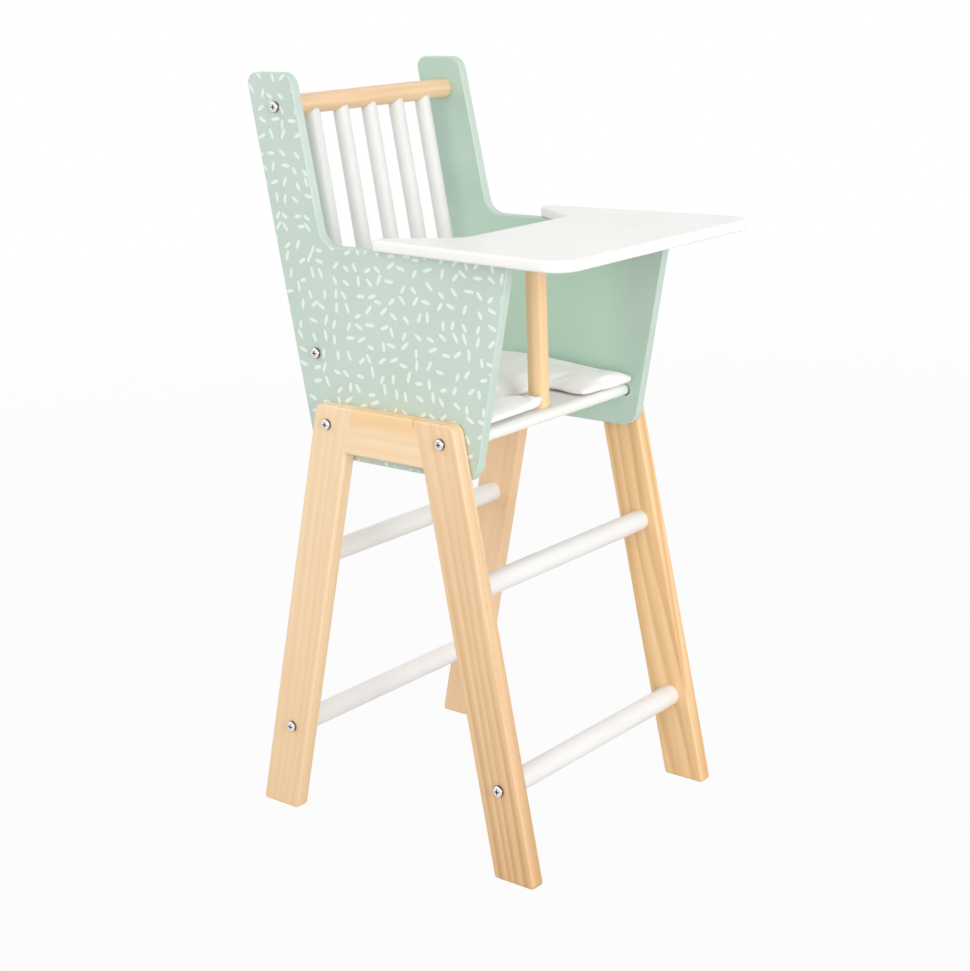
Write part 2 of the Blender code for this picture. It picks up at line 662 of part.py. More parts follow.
def make_screw(name, sign, face_x, place, length, held):
    """A pan-head wood screw driven inwards along X, and the hole it cuts in all that it holds."""
    head = SCREW_HEAD_DIAMETER / 2
    shank = SCREW_SHANK_DIAMETER / 2
    dome = SCREW_HEAD_HEIGHT - SCREW_HEAD_WALL
    quarter = [math.pi / 2 * step / HEAD_STEPS for step in range(HEAD_STEPS + 1)]
    profile = [(head * math.sin(angle), dome * (1 - math.cos(angle))) for angle in quarter]
    profile += [
        (head, SCREW_HEAD_HEIGHT),
        (shank, SCREW_HEAD_HEIGHT),
        (shank, SCREW_HEAD_HEIGHT + length - SCREW_TIP_LENGTH),
        (0, SCREW_HEAD_HEIGHT + length),
    ]
    start = Vector((sign * (face_x + FIT_GAP + SCREW_HEAD_HEIGHT), *place))
    inward = Vector((-sign, 0, 0))
    turned(name, profile, start, start + inward, STEEL, SCREW_FACETS)
    hole_start = Vector((sign * (face_x + CUT_OVERRUN), *place))
    hole_end = start + inward * (SCREW_HEAD_HEIGHT + length + FIT_GAP)
    drill(held, hole_start, hole_end, SCREW_SHANK_DIAMETER + 2 * FIT_GAP, SCREW_FACETS)


def make_side_screws(side, sign, panel, legs, seat, back_rails, rungs):
    """The six screws of one side: two hold the back, two the seat board and two the lower rungs."""
    back_places = {
        "top_rail": (TOP_RAIL_Y, TOP_RAIL_HEIGHT),
        "lower_rail": (LOWER_RAIL_Y, LOWER_RAIL_HEIGHT),
    }
    for rail, (name, place) in zip(back_rails, back_places.items()):
        make_screw(f"{side}_{name}_screw", sign, PANEL_OUTER_X, place, BACK_SCREW_LENGTH, [panel, rail])

    seat_places = {
        "front": (front_leg_y(SEAT_MIDDLE_HEIGHT) - SEAT_SCREW_OFFSET, SEAT_MIDDLE_HEIGHT),
        "rear": (rear_leg_y(SEAT_MIDDLE_HEIGHT) + SEAT_SCREW_OFFSET, SEAT_MIDDLE_HEIGHT),
    }
    for leg, (end, place) in zip(legs, seat_places.items()):
        held = [leg, panel, seat]
        make_screw(f"{side}_{end}_seat_screw", sign, LEG_OUTER_X, place, SEAT_SCREW_LENGTH, held)

    rung_places = {
        "front": (FRONT_LOWER_RUNG_Y, LOWER_RUNG_HEIGHT),
        "rear": (REAR_LOWER_RUNG_Y, LOWER_RUNG_HEIGHT),
    }
    for leg, (end, place) in zip(legs, rung_places.items()):
        held = [leg, rungs[end]]
        make_screw(f"{side}_{end}_rung_screw", sign, LEG_OUTER_X, place, RUNG_SCREW_LENGTH, held)


def make_chair():
    panels = {}
    legs = {}
    for side, sign in SIDES.items():
        panels[side] = make_side_panel(side, sign)
        cut_seat_groove(panels[side], sign)
        legs[side] = make_leg_frame(side, sign)
    front_legs = [legs[side][0] for side in SIDES]
    rear_legs = [legs[side][1] for side in SIDES]

    make_upper_rung("front_upper_rung", FRONT_UPPER_RUNG_Y, front_legs)
    make_upper_rung("rear_upper_rung", REAR_UPPER_RUNG_Y, rear_legs)
    rungs = {
        "front": make_lower_rung("front_lower_rung", FRONT_LOWER_RUNG_Y),
        "rear": make_lower_rung("rear_lower_rung", REAR_LOWER_RUNG_Y),
    }

    seat = make_seat_board()
    top_rail = make_back_rail("back_top_rail", TOP_RAIL_Y, TOP_RAIL_HEIGHT)
    lower_rail = make_back_rail("back_lower_rail", LOWER_RAIL_Y, LOWER_RAIL_HEIGHT)
    make_spindles(top_rail, lower_rail)
    make_tray(panels)
    make_cushion()

    for side, sign in SIDES.items():
        make_side_screws(side, sign, panels[side], legs[side], seat, (top_rail, lower_rail), rungs)


make_chair()
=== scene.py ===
"""Looks of the high chair for dolls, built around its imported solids. Metres, +Z up, front at -Y."""

import math

import bmesh
import bpy
from mathutils import Matrix, Vector


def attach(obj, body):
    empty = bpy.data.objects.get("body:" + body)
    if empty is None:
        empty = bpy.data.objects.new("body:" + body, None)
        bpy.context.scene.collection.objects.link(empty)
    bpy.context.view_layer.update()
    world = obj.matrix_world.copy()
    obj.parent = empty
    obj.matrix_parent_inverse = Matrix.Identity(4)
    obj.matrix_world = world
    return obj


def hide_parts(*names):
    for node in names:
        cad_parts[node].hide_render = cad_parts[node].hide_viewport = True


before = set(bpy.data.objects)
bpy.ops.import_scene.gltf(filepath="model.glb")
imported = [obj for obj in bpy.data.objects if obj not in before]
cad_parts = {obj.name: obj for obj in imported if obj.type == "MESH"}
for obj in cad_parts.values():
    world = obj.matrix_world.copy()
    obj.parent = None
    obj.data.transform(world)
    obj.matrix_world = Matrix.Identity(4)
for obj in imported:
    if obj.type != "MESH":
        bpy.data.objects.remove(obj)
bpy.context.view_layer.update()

SIDES = {"left": -1, "right": 1}


# Side panels
#
# Two 8 mm boards, sprayed mint all over and lacquered satin. The outer faces are printed with
# pale dabs. Each is routed inside for the seat board and drilled for screws and a tray peg.

PANEL_INNER_X = 0.095
PANEL_OUTER_X = 0.103
PANEL_TOP = 0.570
PANEL_BOTTOM = 0.2812
ARMREST = 0.4415
PANEL_CORNERS = (                 # y, height and radius of each corner
    (-0.0590, PANEL_BOTTOM, 0.015),
    (0.0965, PANEL_BOTTOM, 0.015),
    (0.1573, PANEL_TOP, 0.009),
    (0.1105, PANEL_TOP, 0.012),
    (0.0837, ARMREST, 0.015),
    (-0.0931, ARMREST, 0.004),
)
PANEL_RIM = 0.001
GROOVE_FRONT_Y = -0.0552
GROOVE_REAR_Y = 0.0903
GROOVE_BOTTOM = 0.3050
GROOVE_TOP = 0.3146
GROOVE_DEPTH = 0.004
GROOVE_END_RADIUS = 0.0047
WELL_TOP = 0.460
WELL_MIDDLE = 0.400
WELL_FRONT_Y = -0.060
WELL_REAR_Y = -0.030
DAB_SPACING = 0.0115
DAB_LENGTH = 0.0078
DAB_WIDTH = 0.0029
DAB_SCATTER = 0.56                # 0 sets the dabs on a square grid, 1 wholly at random
DAB_SHORTEST_SHARE = 0.84         # of the length above
DAB_SPREAD_SHARE = 0.32           # how much longer than the shortest a dab can be
DAB_SLANT = 0.36
DAB_RAGGEDNESS = 0.3
DAB_TONE = (229, 240, 232)
PAINT_RELIEF = 0.00002
STARTING_SIZE = 0.001             # of a plane that is merged to a board's first corner
ROUND_STEPS = 4
CORNER_STEPS = 10
HOLE_SIDES = 48
SMOOTH_ANGLE = math.radians(40)
NEARLY = 0.00001


def pick(piece):
    """Make one piece the only selected object, in object mode."""
    if bpy.context.mode != "OBJECT":
        bpy.ops.object.mode_set(mode="OBJECT")
    bpy.ops.object.select_all(action="DESELECT")
    piece.select_set(True)
    bpy.context.view_layer.objects.active = piece


def select_where(piece, kind, test):
    """Open a piece in edit mode and select those of its verts, edges or faces that pass a test."""
    pick(piece)
    bpy.ops.object.mode_set(mode="EDIT")
    bpy.ops.mesh.select_mode(type={"verts": "VERT", "edges": "EDGE", "faces": "FACE"}[kind])
    bpy.ops.mesh.select_all(action="DESELECT")
    mesh = bmesh.from_edit_mesh(piece.data)
    for part in getattr(mesh, kind):
        if test(part):
            part.select_set(True)
    bmesh.update_edit_mesh(piece.data)


def trace_board(name, corners, axis, low, high):
    """Trace an outline corner by corner, round its corners, and extrude it into a board.

    Corners are (y, z, radius) for a board with its thickness along X, (x, y, radius) along Z.
    """
    places = [Vector((low, u, v) if axis == "X" else (u, v, low)) for u, v, radius in corners]
    bpy.ops.object.select_all(action="DESELECT")
    bpy.ops.mesh.primitive_plane_add(size=STARTING_SIZE, location=places[0])
    board = bpy.context.object
    board.name = name
    bpy.ops.object.transform_apply(location=True, rotation=False, scale=False)
    bpy.ops.object.mode_set(mode="EDIT")
    bpy.ops.mesh.select_mode(type="VERT")
    bpy.ops.mesh.select_all(action="SELECT")
    bpy.ops.mesh.merge(type="CENTER")
    for here, there in zip(places, places[1:]):
        bpy.ops.mesh.extrude_vertices_move(TRANSFORM_OT_translate={"value": there - here})
    bpy.ops.mesh.select_all(action="SELECT")
    bpy.ops.mesh.edge_face_add()

    for index, place in enumerate(places):
        radius = corners[index][2]
        if not radius:
            continue
        way_in = (place - places[index - 1]).normalized()
        way_out = (places[(index + 1) % len(places)] - place).normalized()
        select_where(board, "verts", lambda vert: (vert.co - place).length < NEARLY)
        setback = radius * math.tan(way_in.angle(way_out) / 2)
        bpy.ops.mesh.bevel(offset=setback, segments=CORNER_STEPS, affect="VERTICES")

    bpy.ops.mesh.select_all(action="SELECT")
    thickness = Vector((high - low, 0, 0) if axis == "X" else (0, 0, high - low))
    bpy.ops.mesh.extrude_region_move(TRANSFORM_OT_translate={"value": thickness})
    bpy.ops.mesh.select_all(action="SELECT")
    bpy.ops.mesh.normals_make_consistent(inside=False)
    bpy.ops.object.mode_set(mode="OBJECT")
    return board


def round_rims(board, axis, levels, radius, keep_square=None):
    """Round the rims of a board's two broad faces, apart from the edges to keep square."""
    index = "XYZ".index(axis)

    def on_rim(edge):
        flat = any(all(abs(vert.co[index] - level) < NEARLY for vert in edge.verts) for level in levels)
        return flat and not (keep_square and keep_square(edge))

    select_where(board, "edges", on_rim)
    bpy.ops.mesh.bevel(offset=radius, segments=ROUND_STEPS, affect="EDGES")
    bpy.ops.object.mode_set(mode="OBJECT")


def carve(piece, cutter):
    """Take a cutter's shape out of a piece, and clear the cutter away."""
    pick(piece)
    boolean = piece.modifiers.new("carve", "BOOLEAN")
    boolean.operation = "DIFFERENCE"
    boolean.object = cutter
    bpy.ops.object.modifier_apply(modifier=boolean.name)
    bpy.data.objects.remove(cutter)


def drill(piece, start, end, diameter):
    """Drill a straight round hole from start to end."""
    way = Vector(end) - Vector(start)
    bpy.ops.object.select_all(action="DESELECT")
    bpy.ops.mesh.primitive_cylinder_add(
        vertices=HOLE_SIDES,
        radius=diameter / 2,
        depth=way.length,
        location=Vector(start) + way / 2,
        rotation=way.to_track_quat("Z", "Y").to_euler(),
    )
    carve(piece, bpy.context.object)


def smooth(piece):
    """Shade a piece smooth over its rounded rims, with its broad faces kept flat."""
    pick(piece)
    bpy.ops.object.shade_smooth_by_angle(angle=SMOOTH_ANGLE)
    bpy.ops.object.modifier_add(type="WEIGHTED_NORMAL")
    piece.modifiers[-1].keep_sharp = True
    bpy.ops.object.modifier_apply(modifier=piece.modifiers[-1].name)


def linear(red, green, blue):
    """A colour given in display levels from 0 to 255, as the linear values that a shader takes."""
    levels = [level / 255 for level in (red, green, blue)]
    return [level / 12.92 if level <= 0.04045 else ((level + 0.055) / 1.055) ** 2.4 for level in levels] + [1]


class Signal:
    """A socket of a material's nodes. Sums of signals and numbers add their Math nodes."""

    def __init__(self, tree, socket):
        self.tree = tree
        self.socket = socket

    def node(self, kind, settings, inputs, output=0):
        """Add a node with its settings made first, then its inputs, and give one of its outputs."""
        made = self.tree.nodes.new("ShaderNode" + kind)
        for name, setting in settings.items():
            setattr(made, name, setting)
        for name, value in inputs.items():
            if isinstance(value, Signal):
                self.tree.links.new(value.socket, made.inputs[name])
            else:
                made.inputs[name].default_value = value
        return Signal(self.tree, made.outputs[output])

    def math(self, operation, first, second=0.0, clamp=False):
        return self.node("Math", {"operation": operation, "use_clamp": clamp}, {0: first, 1: second})

    def __add__(self, other):
        return self.math("ADD", self, other)

    def __radd__(self, other):
        return self.math("ADD", other, self)

    def __sub__(self, other):
        return self.math("SUBTRACT", self, other)

    def __rsub__(self, other):
        return self.math("SUBTRACT", other, self)

    def __mul__(self, other):
        return self.math("MULTIPLY", self, other)

    def __rmul__(self, other):
        return self.math("MULTIPLY", other, self)

    def __truediv__(self, other):
        return self.math("DIVIDE", self, other)

    def __abs__(self):
        return self.math("ABSOLUTE", self)

    def power(self, exponent):
        return self.math("POWER", self, exponent)

    def clamped(self):
        return self.math("ADD", self, 0.0, clamp=True)

    def part(self, axis):
        """One coordinate of a vector."""
        return self.node("SeparateXYZ", {}, {0: self}, "XYZ".index(axis))

    def placed(self, location=(0, 0, 0), turn=(0, 0, 0), scale=(1, 1, 1)):
        """A place seen from a moved, turned and stretched frame."""
        inputs = {"Vector": self, "Location": location, "Rotation": turn, "Scale": scale}
        return self.node("Mapping", {}, inputs)

    def noise(self, scale, detail):
        """Cloudy noise between 0 and 1 over this place."""
        return self.node("TexNoise", {}, {"Vector": self, "Scale": scale, "Detail": detail})

    def between(self, low, high):
        """This value spread so that low becomes 0 and high becomes 1, and held between them."""
        inputs = {"Value": self, "From Min": low, "From Max": high}
        return self.node("MapRange", {"clamp": True}, inputs)

    def blend(self, first, second):
        """The first colour where this value is 0 and the second where it is 1."""
        return self.node("Mix", {"data_type": "RGBA"}, {"Factor": self, 6: first, 7: second}, 2)


def new_finish(name, **fixed):
    """A new material: the place on the piece as a signal, and a call that feeds the shader."""
    made = bpy.data.materials.new(name)
    made.use_nodes = True
    tree = made.node_tree
    shader = tree.nodes["Principled BSDF"]
    for socket, value in fixed.items():
        shader.inputs[socket.replace("_", " ")].default_value = value
    place = Signal(tree, tree.nodes.new("ShaderNodeTexCoord").outputs["Object"])

    def feed(**signals):
        for socket, signal in signals.items():
            tree.links.new(signal.socket, shader.inputs[socket.replace("_", " ")])

    return made, place, feed


def bump(height, distance):
    """A surface normal from a height between 0 and 1, whose full height is the distance."""
    return height.node("Bump", {}, {"Distance": distance, "Height": height})


def make_mint_finish(name, tones, printed=False, well_painted_light_tone=None):
    """Satin mint paint with a fine sprayed texture, and pale blunt dabs where it is printed.

    With a well tone, it turns paler and greener behind and below, around the seat: painted light, for light
    bounced between the boards.
    """
    made, place, feed = new_finish(name, Coat_Weight=0.06, Coat_Roughness=0.35)
    cloud = place.noise(22, 3)
    colour = cloud.between(0.3, 0.7).blend(linear(*tones[0]), linear(*tones[1]))
    if well_painted_light_tone:
        below = place.part("Z").between(WELL_TOP, WELL_MIDDLE)
        behind = place.part("Y").between(WELL_FRONT_Y, WELL_REAR_Y)
        colour = (below * behind).blend(colour, linear(*well_painted_light_tone))
    spray = place.noise(1900, 2)
    height = spray
    if printed:
        flat = place.node("CombineXYZ", {}, {0: place.part("Y"), 1: place.part("Z")})
        cells = flat.placed(scale=(1 / DAB_SPACING,) * 3)
        settings = {"voronoi_dimensions": "2D", "feature": "F1"}
        inputs = {"Vector": cells, "Scale": 1.0, "Randomness": DAB_SCATTER}
        middle = cells.node("TexVoronoi", settings, inputs, "Position")
        tone = cells.node("TexVoronoi", settings, inputs, "Color")
        away = cells.node("VectorMath", {"operation": "SUBTRACT"}, {0: cells, 1: middle})
        angle = tone.part("X") * (2 * math.pi)
        swing = {"Vector": away, "Center": (0, 0, 0), "Axis": (0, 0, 1), "Angle": angle}
        turned = away.node("VectorRotate", {"rotation_type": "AXIS_ANGLE"}, swing)
        length_share = DAB_SHORTEST_SHARE + tone.part("Y") * DAB_SPREAD_SHARE
        along = abs(turned.part("X")) / (length_share * (DAB_LENGTH / 2 / DAB_SPACING))
        across = abs(turned.part("Y") + turned.part("X") * (tone.part("Z") - 0.5) * DAB_SLANT)
        across = across / (DAB_WIDTH / 2 / DAB_SPACING)
        ragged = place.noise(900, 2)
        inside = 1.0 - along.power(2.6) - across.power(2.0) + (ragged - 0.5) * DAB_RAGGEDNESS
        dab = inside.between(-0.08, 0.14)
        colour = dab.blend(colour, linear(*DAB_TONE))
        height = spray + dab * 2.5
    feed(Base_Color=colour, Roughness=0.42 + cloud * 0.12, Normal=bump(height, PAINT_RELIEF))
    return made


mint_rim = make_mint_finish("mint_paint", ((194, 212, 200), (201, 217, 207)))
# The inner faces take a darker, greener copy of the same paint: painted shade, and painted bounce light from
# the facing board.
inside_painted_shade_tones = ((180, 205, 190), (187, 210, 197))
mint_inside_painted_shade = make_mint_finish("mint_paint_inside_painted_shade", inside_painted_shade_tones, well_painted_light_tone=(196, 224, 206))
mint_printed = make_mint_finish("mint_paint_printed", ((192, 210, 198), (199, 215, 205)), printed=True)


rigid_pieces = []


def give(piece, finishes, body, node):
    """Give a piece its finishes and its CAD body, and hide the CAD node that it stands for."""
    for finish in finishes:
        piece.data.materials.append(finish)
    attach(piece, body)
    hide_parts(node)
    rigid_pieces.append(piece)


def finish_faces(piece, index, test):
    """Give the faces that pass a test the piece's finish of that index."""
    for face in piece.data.polygons:
        if test(face):
            face.material_index = index


panels = {}
for side, sign in SIDES.items():
    levels = sorted((sign * PANEL_INNER_X, sign * PANEL_OUTER_X))
    panel = trace_board(f"{side}_panel_board", PANEL_CORNERS, "X", *levels)
    round_rims(panel, "X", levels, PANEL_RIM)
    groove_corners = (
        (GROOVE_FRONT_Y, GROOVE_BOTTOM, GROOVE_END_RADIUS),
        (GROOVE_REAR_Y, GROOVE_BOTTOM, 0),
        (GROOVE_REAR_Y, GROOVE_TOP, 0),
        (GROOVE_FRONT_Y, GROOVE_TOP, GROOVE_END_RADIUS),
    )
    cut_levels = sorted((sign * (PANEL_INNER_X - GROOVE_DEPTH), sign * (PANEL_INNER_X + GROOVE_DEPTH)))
    carve(panel, trace_board("groove_cut", groove_corners, "X", *cut_levels))
    give(panel, [mint_rim, mint_inside_painted_shade, mint_printed], "chair", f"{side}_side_panel")
    inside = sign * PANEL_INNER_X
    outside = sign * PANEL_OUTER_X
    finish_faces(panel, 1, lambda face: abs(face.center.x - inside) < NEARLY)
    finish_faces(panel, 2, lambda face: abs(face.center.x - outside) < NEARLY)
    panels[side] = panel


# Leg frames
#
# On each side a front leg, a rear leg and a short rail of 12 mm pine, dowelled and glued into
# an A, sanded round outside after gluing and left clear. The inner corners stay sharp.

LEG_INNER_X = 0.1033
LEG_OUTER_X = 0.1153
LEG_TOP = 0.324
RAIL_BOTTOM = 0.2894
JOINT_FOOT = 0.2898
LEG_HALF_WIDTH = 0.01775
FRONT_FOOT_Y = -0.0932
FRONT_TOP_Y = -0.0311
REAR_FOOT_Y = 0.1377
REAR_TOP_Y = 0.0660
FOOT_RADIUS = 0.0026
FRONT_TOP_RADIUS = 0.008
REAR_TOP_RADIUS = 0.005
LEG_RIM = 0.0018
JOINT_GAP = 0.0001
BUTT_GAP = 0.00002
DOWEL_DIAMETER = 0.006
DOWEL_LENGTH = 0.024
FRONT_LEAN = math.atan2(FRONT_TOP_Y - FRONT_FOOT_Y, LEG_TOP)
REAR_LEAN = math.atan2(REAR_TOP_Y - REAR_FOOT_Y, LEG_TOP)
RAIL_LEAN = math.pi / 2
LINES_THROUGH = 90                # growth lines to a metre of a board's thickness
LINE_DRIFT = 4                    # how many lines' width the grain wanders
PINE_RELIEF = 0.00004
AMBER_STREAK_Z = 0.3145
AMBER_STREAK_FADE = 0.004
AMBER_STREAK_WANDER = 0.008
AMBER_TONE = (246, 203, 150)
NICK_Y = -0.0123
NICK_HALF_WIDTH = 0.0009
NICK_HALF_FLOOR = 0.0004
NICK_FOOT_Z = 0.3185
NICK_FADE = 0.001
NICK_TONE = (205, 160, 98)
PINE_GRAIN = {
    "left_front": ((245, 213, 174), (226, 186, 140), (233, 191, 144), (196, 154, 105), 110, 0.45, 0.9),
    "left_rear": ((249, 222, 185), (234, 198, 154), (244, 211, 168), (228, 190, 144), 130, 0.3, 0.4),
    "left_rail": ((249, 221, 182), (236, 200, 154), (249, 221, 182), (236, 200, 154), 120, 0.4, 0.4),
    "right_front": ((254, 216, 164), (220, 174, 116), (250, 210, 160), (216, 170, 114), 75, 0.8, 0.8),
    "right_rear": ((248, 212, 170), (230, 188, 144), (248, 212, 170), (230, 188, 144), 110, 0.2, 0.2),
    "right_rail": ((246, 216, 174), (233, 195, 148), (246, 216, 174), (233, 195, 148), 120, 0.4, 0.4),
}


def front_leg_y(height):
    """Middle of a front leg, front to rear, at a height."""
    return FRONT_FOOT_Y + (FRONT_TOP_Y - FRONT_FOOT_Y) * height / LEG_TOP


def rear_leg_y(height):
    """Middle of a rear leg, front to rear, at a height."""
    return REAR_FOOT_Y + (REAR_TOP_Y - REAR_FOOT_Y) * height / LEG_TOP


def make_pine_finish(name, lean, seed, grain, marked):
    """Clear pine: wandering growth lines, each darkest at its outer edge, and fine fibres.

    The grain runs up a board that leans by an angle. Its settings are the light and dark tones at
    the top, those at the foot, the growth lines to a metre, and how bold they are at top and foot.
    A marked board has a warm streak along its top edge, and a small nick there.
    """
    top_light, top_dark, foot_light, foot_dark, lines, top_boldness, foot_boldness = grain
    made, place, feed = new_finish(name, Coat_Weight=0.04, Coat_Roughness=0.4)
    board = place.placed(location=seed, turn=(lean, 0, 0))
    up = place.part("Z").between(0.0, LEG_TOP)
    drift = board.placed(scale=(1, 1, 0.12)).noise(16, 2)
    rings = board.part("Y") * lines + board.part("X") * LINES_THROUGH + drift * LINE_DRIFT
    ring = rings.math("FRACT", rings)
    line = ring.power(2) * (1.0 - ring.power(9))
    boldness = foot_boldness + up * (top_boldness - foot_boldness)
    streak = board.placed(scale=(1, 1, 0.03)).noise(230, 3).between(0.36, 0.66)
    fibre = board.placed(scale=(1, 1, 0.02)).noise(1400, 2)
    patch = board.placed(scale=(1, 1, 0.3)).noise(26, 2)
    depth = line * boldness + streak * 0.2 + fibre * 0.1 + patch * 0.3
    light = up.blend(linear(*foot_light), linear(*top_light))
    dark = up.blend(linear(*foot_dark), linear(*top_dark))
    colour = depth.between(0.15, 0.95).blend(light, dark)
    if marked:
        wander = place.placed(scale=(1, 0.3, 1)).noise(60, 2) * AMBER_STREAK_WANDER
        streak_end = AMBER_STREAK_Z + AMBER_STREAK_FADE
        warm = (place.part("Z") + wander).between(AMBER_STREAK_Z, streak_end)
        colour = (warm * 0.7).blend(colour, linear(*AMBER_TONE))
        nick = abs(place.part("Y") - NICK_Y).between(NICK_HALF_WIDTH, NICK_HALF_FLOOR)
        nick = nick * place.part("Z").between(NICK_FOOT_Z, NICK_FOOT_Z + NICK_FADE)
        colour = (nick * 0.75).blend(colour, linear(*NICK_TONE))
    grain_height = fibre * 0.7 + line * 0.3
    feed(Base_Color=colour, Roughness=0.46 + fibre * 0.16, Normal=bump(grain_height, PINE_RELIEF))
    return made


def make_leg(side, levels, end, middle_y, outward, top_radius):
    """One leg, with its inner edge square where the rail butts against it."""
    inner = -outward * LEG_HALF_WIDTH
    outer = outward * LEG_HALF_WIDTH
    corners = (
        (middle_y(0) + outer, 0, FOOT_RADIUS),
        (middle_y(0) + inner, 0, FOOT_RADIUS),
        (middle_y(RAIL_BOTTOM) + inner, RAIL_BOTTOM, 0),
        (middle_y(JOINT_FOOT) + inner, JOINT_FOOT, 0),
        (middle_y(LEG_TOP) + inner, LEG_TOP, 0),
        (middle_y(LEG_TOP) + outer, LEG_TOP, top_radius),
    )
    leg = trace_board(f"{side}_{end}_leg_board", corners, "X", *levels)

    def at_joint(edge):
        return all(
            abs(vert.co.y - middle_y(vert.co.z) - inner) < NEARLY and vert.co.z > RAIL_BOTTOM - NEARLY
            for vert in edge.verts
        )

    round_rims(leg, "X", levels, LEG_RIM, at_joint)
    return leg


def make_rail(side, levels):
    """The rail between the two legs, with only its long edges rounded."""
    inset = LEG_HALF_WIDTH + BUTT_GAP
    corners = (
        (front_leg_y(RAIL_BOTTOM) + inset, RAIL_BOTTOM, 0),
        (rear_leg_y(RAIL_BOTTOM) - inset, RAIL_BOTTOM, 0),
        (rear_leg_y(LEG_TOP) - inset, LEG_TOP, 0),
        (front_leg_y(LEG_TOP) + inset, LEG_TOP, 0),
    )
    rail = trace_board(f"{side}_rail_board", corners, "X", *levels)

    def at_end(edge):
        return abs(edge.verts[0].co.z - edge.verts[1].co.z) > NEARLY

    round_rims(rail, "X", levels, LEG_RIM, at_end)
    return rail


legs = {}
for side, sign in SIDES.items():
    levels = sorted((sign * LEG_INNER_X, sign * LEG_OUTER_X))
    front = make_leg(side, levels, "front", front_leg_y, -1, FRONT_TOP_RADIUS)
    rear = make_leg(side, levels, "rear", rear_leg_y, 1, REAR_TOP_RADIUS)
    rail = make_rail(side, levels)
    middle_x = sign * (LEG_INNER_X + LEG_OUTER_X) / 2
    middle_z = (LEG_TOP + RAIL_BOTTOM) / 2
    joints = {
        "front": (front, front_leg_y(middle_z) + LEG_HALF_WIDTH),
        "rear": (rear, rear_leg_y(middle_z) - LEG_HALF_WIDTH),
    }
    for end, (leg, joint_y) in joints.items():
        start = Vector((middle_x, joint_y - DOWEL_LENGTH / 2, middle_z))
        finish = Vector((middle_x, joint_y + DOWEL_LENGTH / 2, middle_z))
        room = Vector((0, JOINT_GAP, 0))
        for board in (leg, rail):
            drill(board, start - room, finish + room, DOWEL_DIAMETER + 2 * JOINT_GAP)
    legs[side] = {"front": front, "rear": rear, "rail": rail}
    seeds = {"front": (0.3 * sign, 0.1, 0.7 * sign), "rear": (0.9, 0.4 * sign, 0.2), "rail": (0.5, 0.8, 0.3)}
    for end, board in legs[side].items():
        lean = {"front": FRONT_LEAN, "rear": REAR_LEAN, "rail": RAIL_LEAN}[end]
        node = f"{side}_leg_rail" if end == "rail" else f"{side}_{end}_leg"
        grain = PINE_GRAIN[f"{side}_{end}"]
        marked = side == "left" and end == "rail"
        pine = make_pine_finish(f"pine_{side}_{end}", lean, seeds[end], grain, marked)
        give(board, [pine], "chair", node)


# Rungs
#
# Four white 16 mm rods that hold the leg frames apart. The upper two are glued into blind
# holes in the legs, and the lower two are held by a screw into each end.

RUNG_DIAMETER = 0.016
ROD_END_RIM = 0.0006
UPPER_RUNG_Z = 0.2038
LOWER_RUNG_Z = 0.0660
RUNG_SOCKET_X = 0.1103
RUNG_OFFSETS = {                  # from the middle of the leg, to the rear
    "front_upper": -0.0021,
    "rear_upper": 0.0003,
    "front_lower": -0.0016,
    "rear_lower": -0.0020,
}
ROD_SIDES = 64
ROD_END_STEPS = 3


def make_rod(name, start, end, diameter, rim=ROD_END_RIM):
    """A round rod from start to end, with a small round on both its ends."""
    way = Vector(end) - Vector(start)
    bpy.ops.object.select_all(action="DESELECT")
    bpy.ops.mesh.primitive_cylinder_add(
        vertices=ROD_SIDES,
        radius=diameter / 2,
        depth=way.length,
        location=Vector(start) + way / 2,
        rotation=way.to_track_quat("Z", "Y").to_euler(),
    )
    rod = bpy.context.object
    rod.name = name
    bpy.ops.object.transform_apply(location=True, rotation=True, scale=True)
    along = way.normalized()
    select_where(rod, "edges", lambda edge: abs((edge.verts[0].co - edge.verts[1].co).dot(along)) < NEARLY)
    bpy.ops.mesh.bevel(offset=rim, segments=ROD_END_STEPS, affect="EDGES")
    bpy.ops.object.mode_set(mode="OBJECT")
    return rod


def make_white_finish(name, colour, softness):
    """Satin white paint over wood: slightly uneven in tone, with a faint rolled texture."""
    made, place, feed = new_finish(name, Coat_Weight=0.1, Coat_Roughness=0.3)
    cloud = place.noise(18, 3)
    tint = cloud.between(0.3, 0.7).blend(linear(*colour), linear(*[level - 4 for level in colour]))
    texture = place.noise(1300, 3)
    feed(Base_Color=tint, Roughness=softness + cloud * 0.1, Normal=bump(texture, PAINT_RELIEF))
    return made


white_paint = make_white_finish("white_paint", (249, 248, 245), 0.36)
# The rungs take a slightly dimmer copy of the same white paint: painted shade.
rung_paint = make_white_finish("rung_paint", (241, 240, 238), 0.36)

rungs = {}
rung_y = {}
for name, offset in RUNG_OFFSETS.items():
    end, level = name.split("_")
    half = RUNG_SOCKET_X if level == "upper" else LEG_INNER_X
    z = UPPER_RUNG_Z if level == "upper" else LOWER_RUNG_Z
    y = (front_leg_y(z) if end == "front" else rear_leg_y(z)) + offset
    rung = make_rod(f"{name}_rod", (JOINT_GAP - half, y, z), (half - JOINT_GAP, y, z), RUNG_DIAMETER)
    if level == "upper":
        for side in SIDES:
            drill(legs[side][end], (-half, y, z), (half, y, z), RUNG_DIAMETER + 2 * JOINT_GAP)
    give(rung, [rung_paint], "chair", f"{name}_rung")
    rungs[name] = rung
    rung_y[name] = y


# Seat board
#
# A white 9 mm board with round front and rear edges. Its ends sit in the panels' grooves, and
# it is bored near its front edge for the tray's post.

SEAT_TOP = 0.3143
SEAT_BOTTOM = 0.3053
SEAT_FRONT_Y = -0.0527
SEAT_REAR_Y = 0.0900
SEAT_END_X = 0.0987
SEAT_NOSE_RADIUS = 0.0044
SEAT_REAR_RADIUS = 0.0012
POST_Y = -0.0379
POST_DIAMETER = 0.016
POST_ROOM = 0.0005

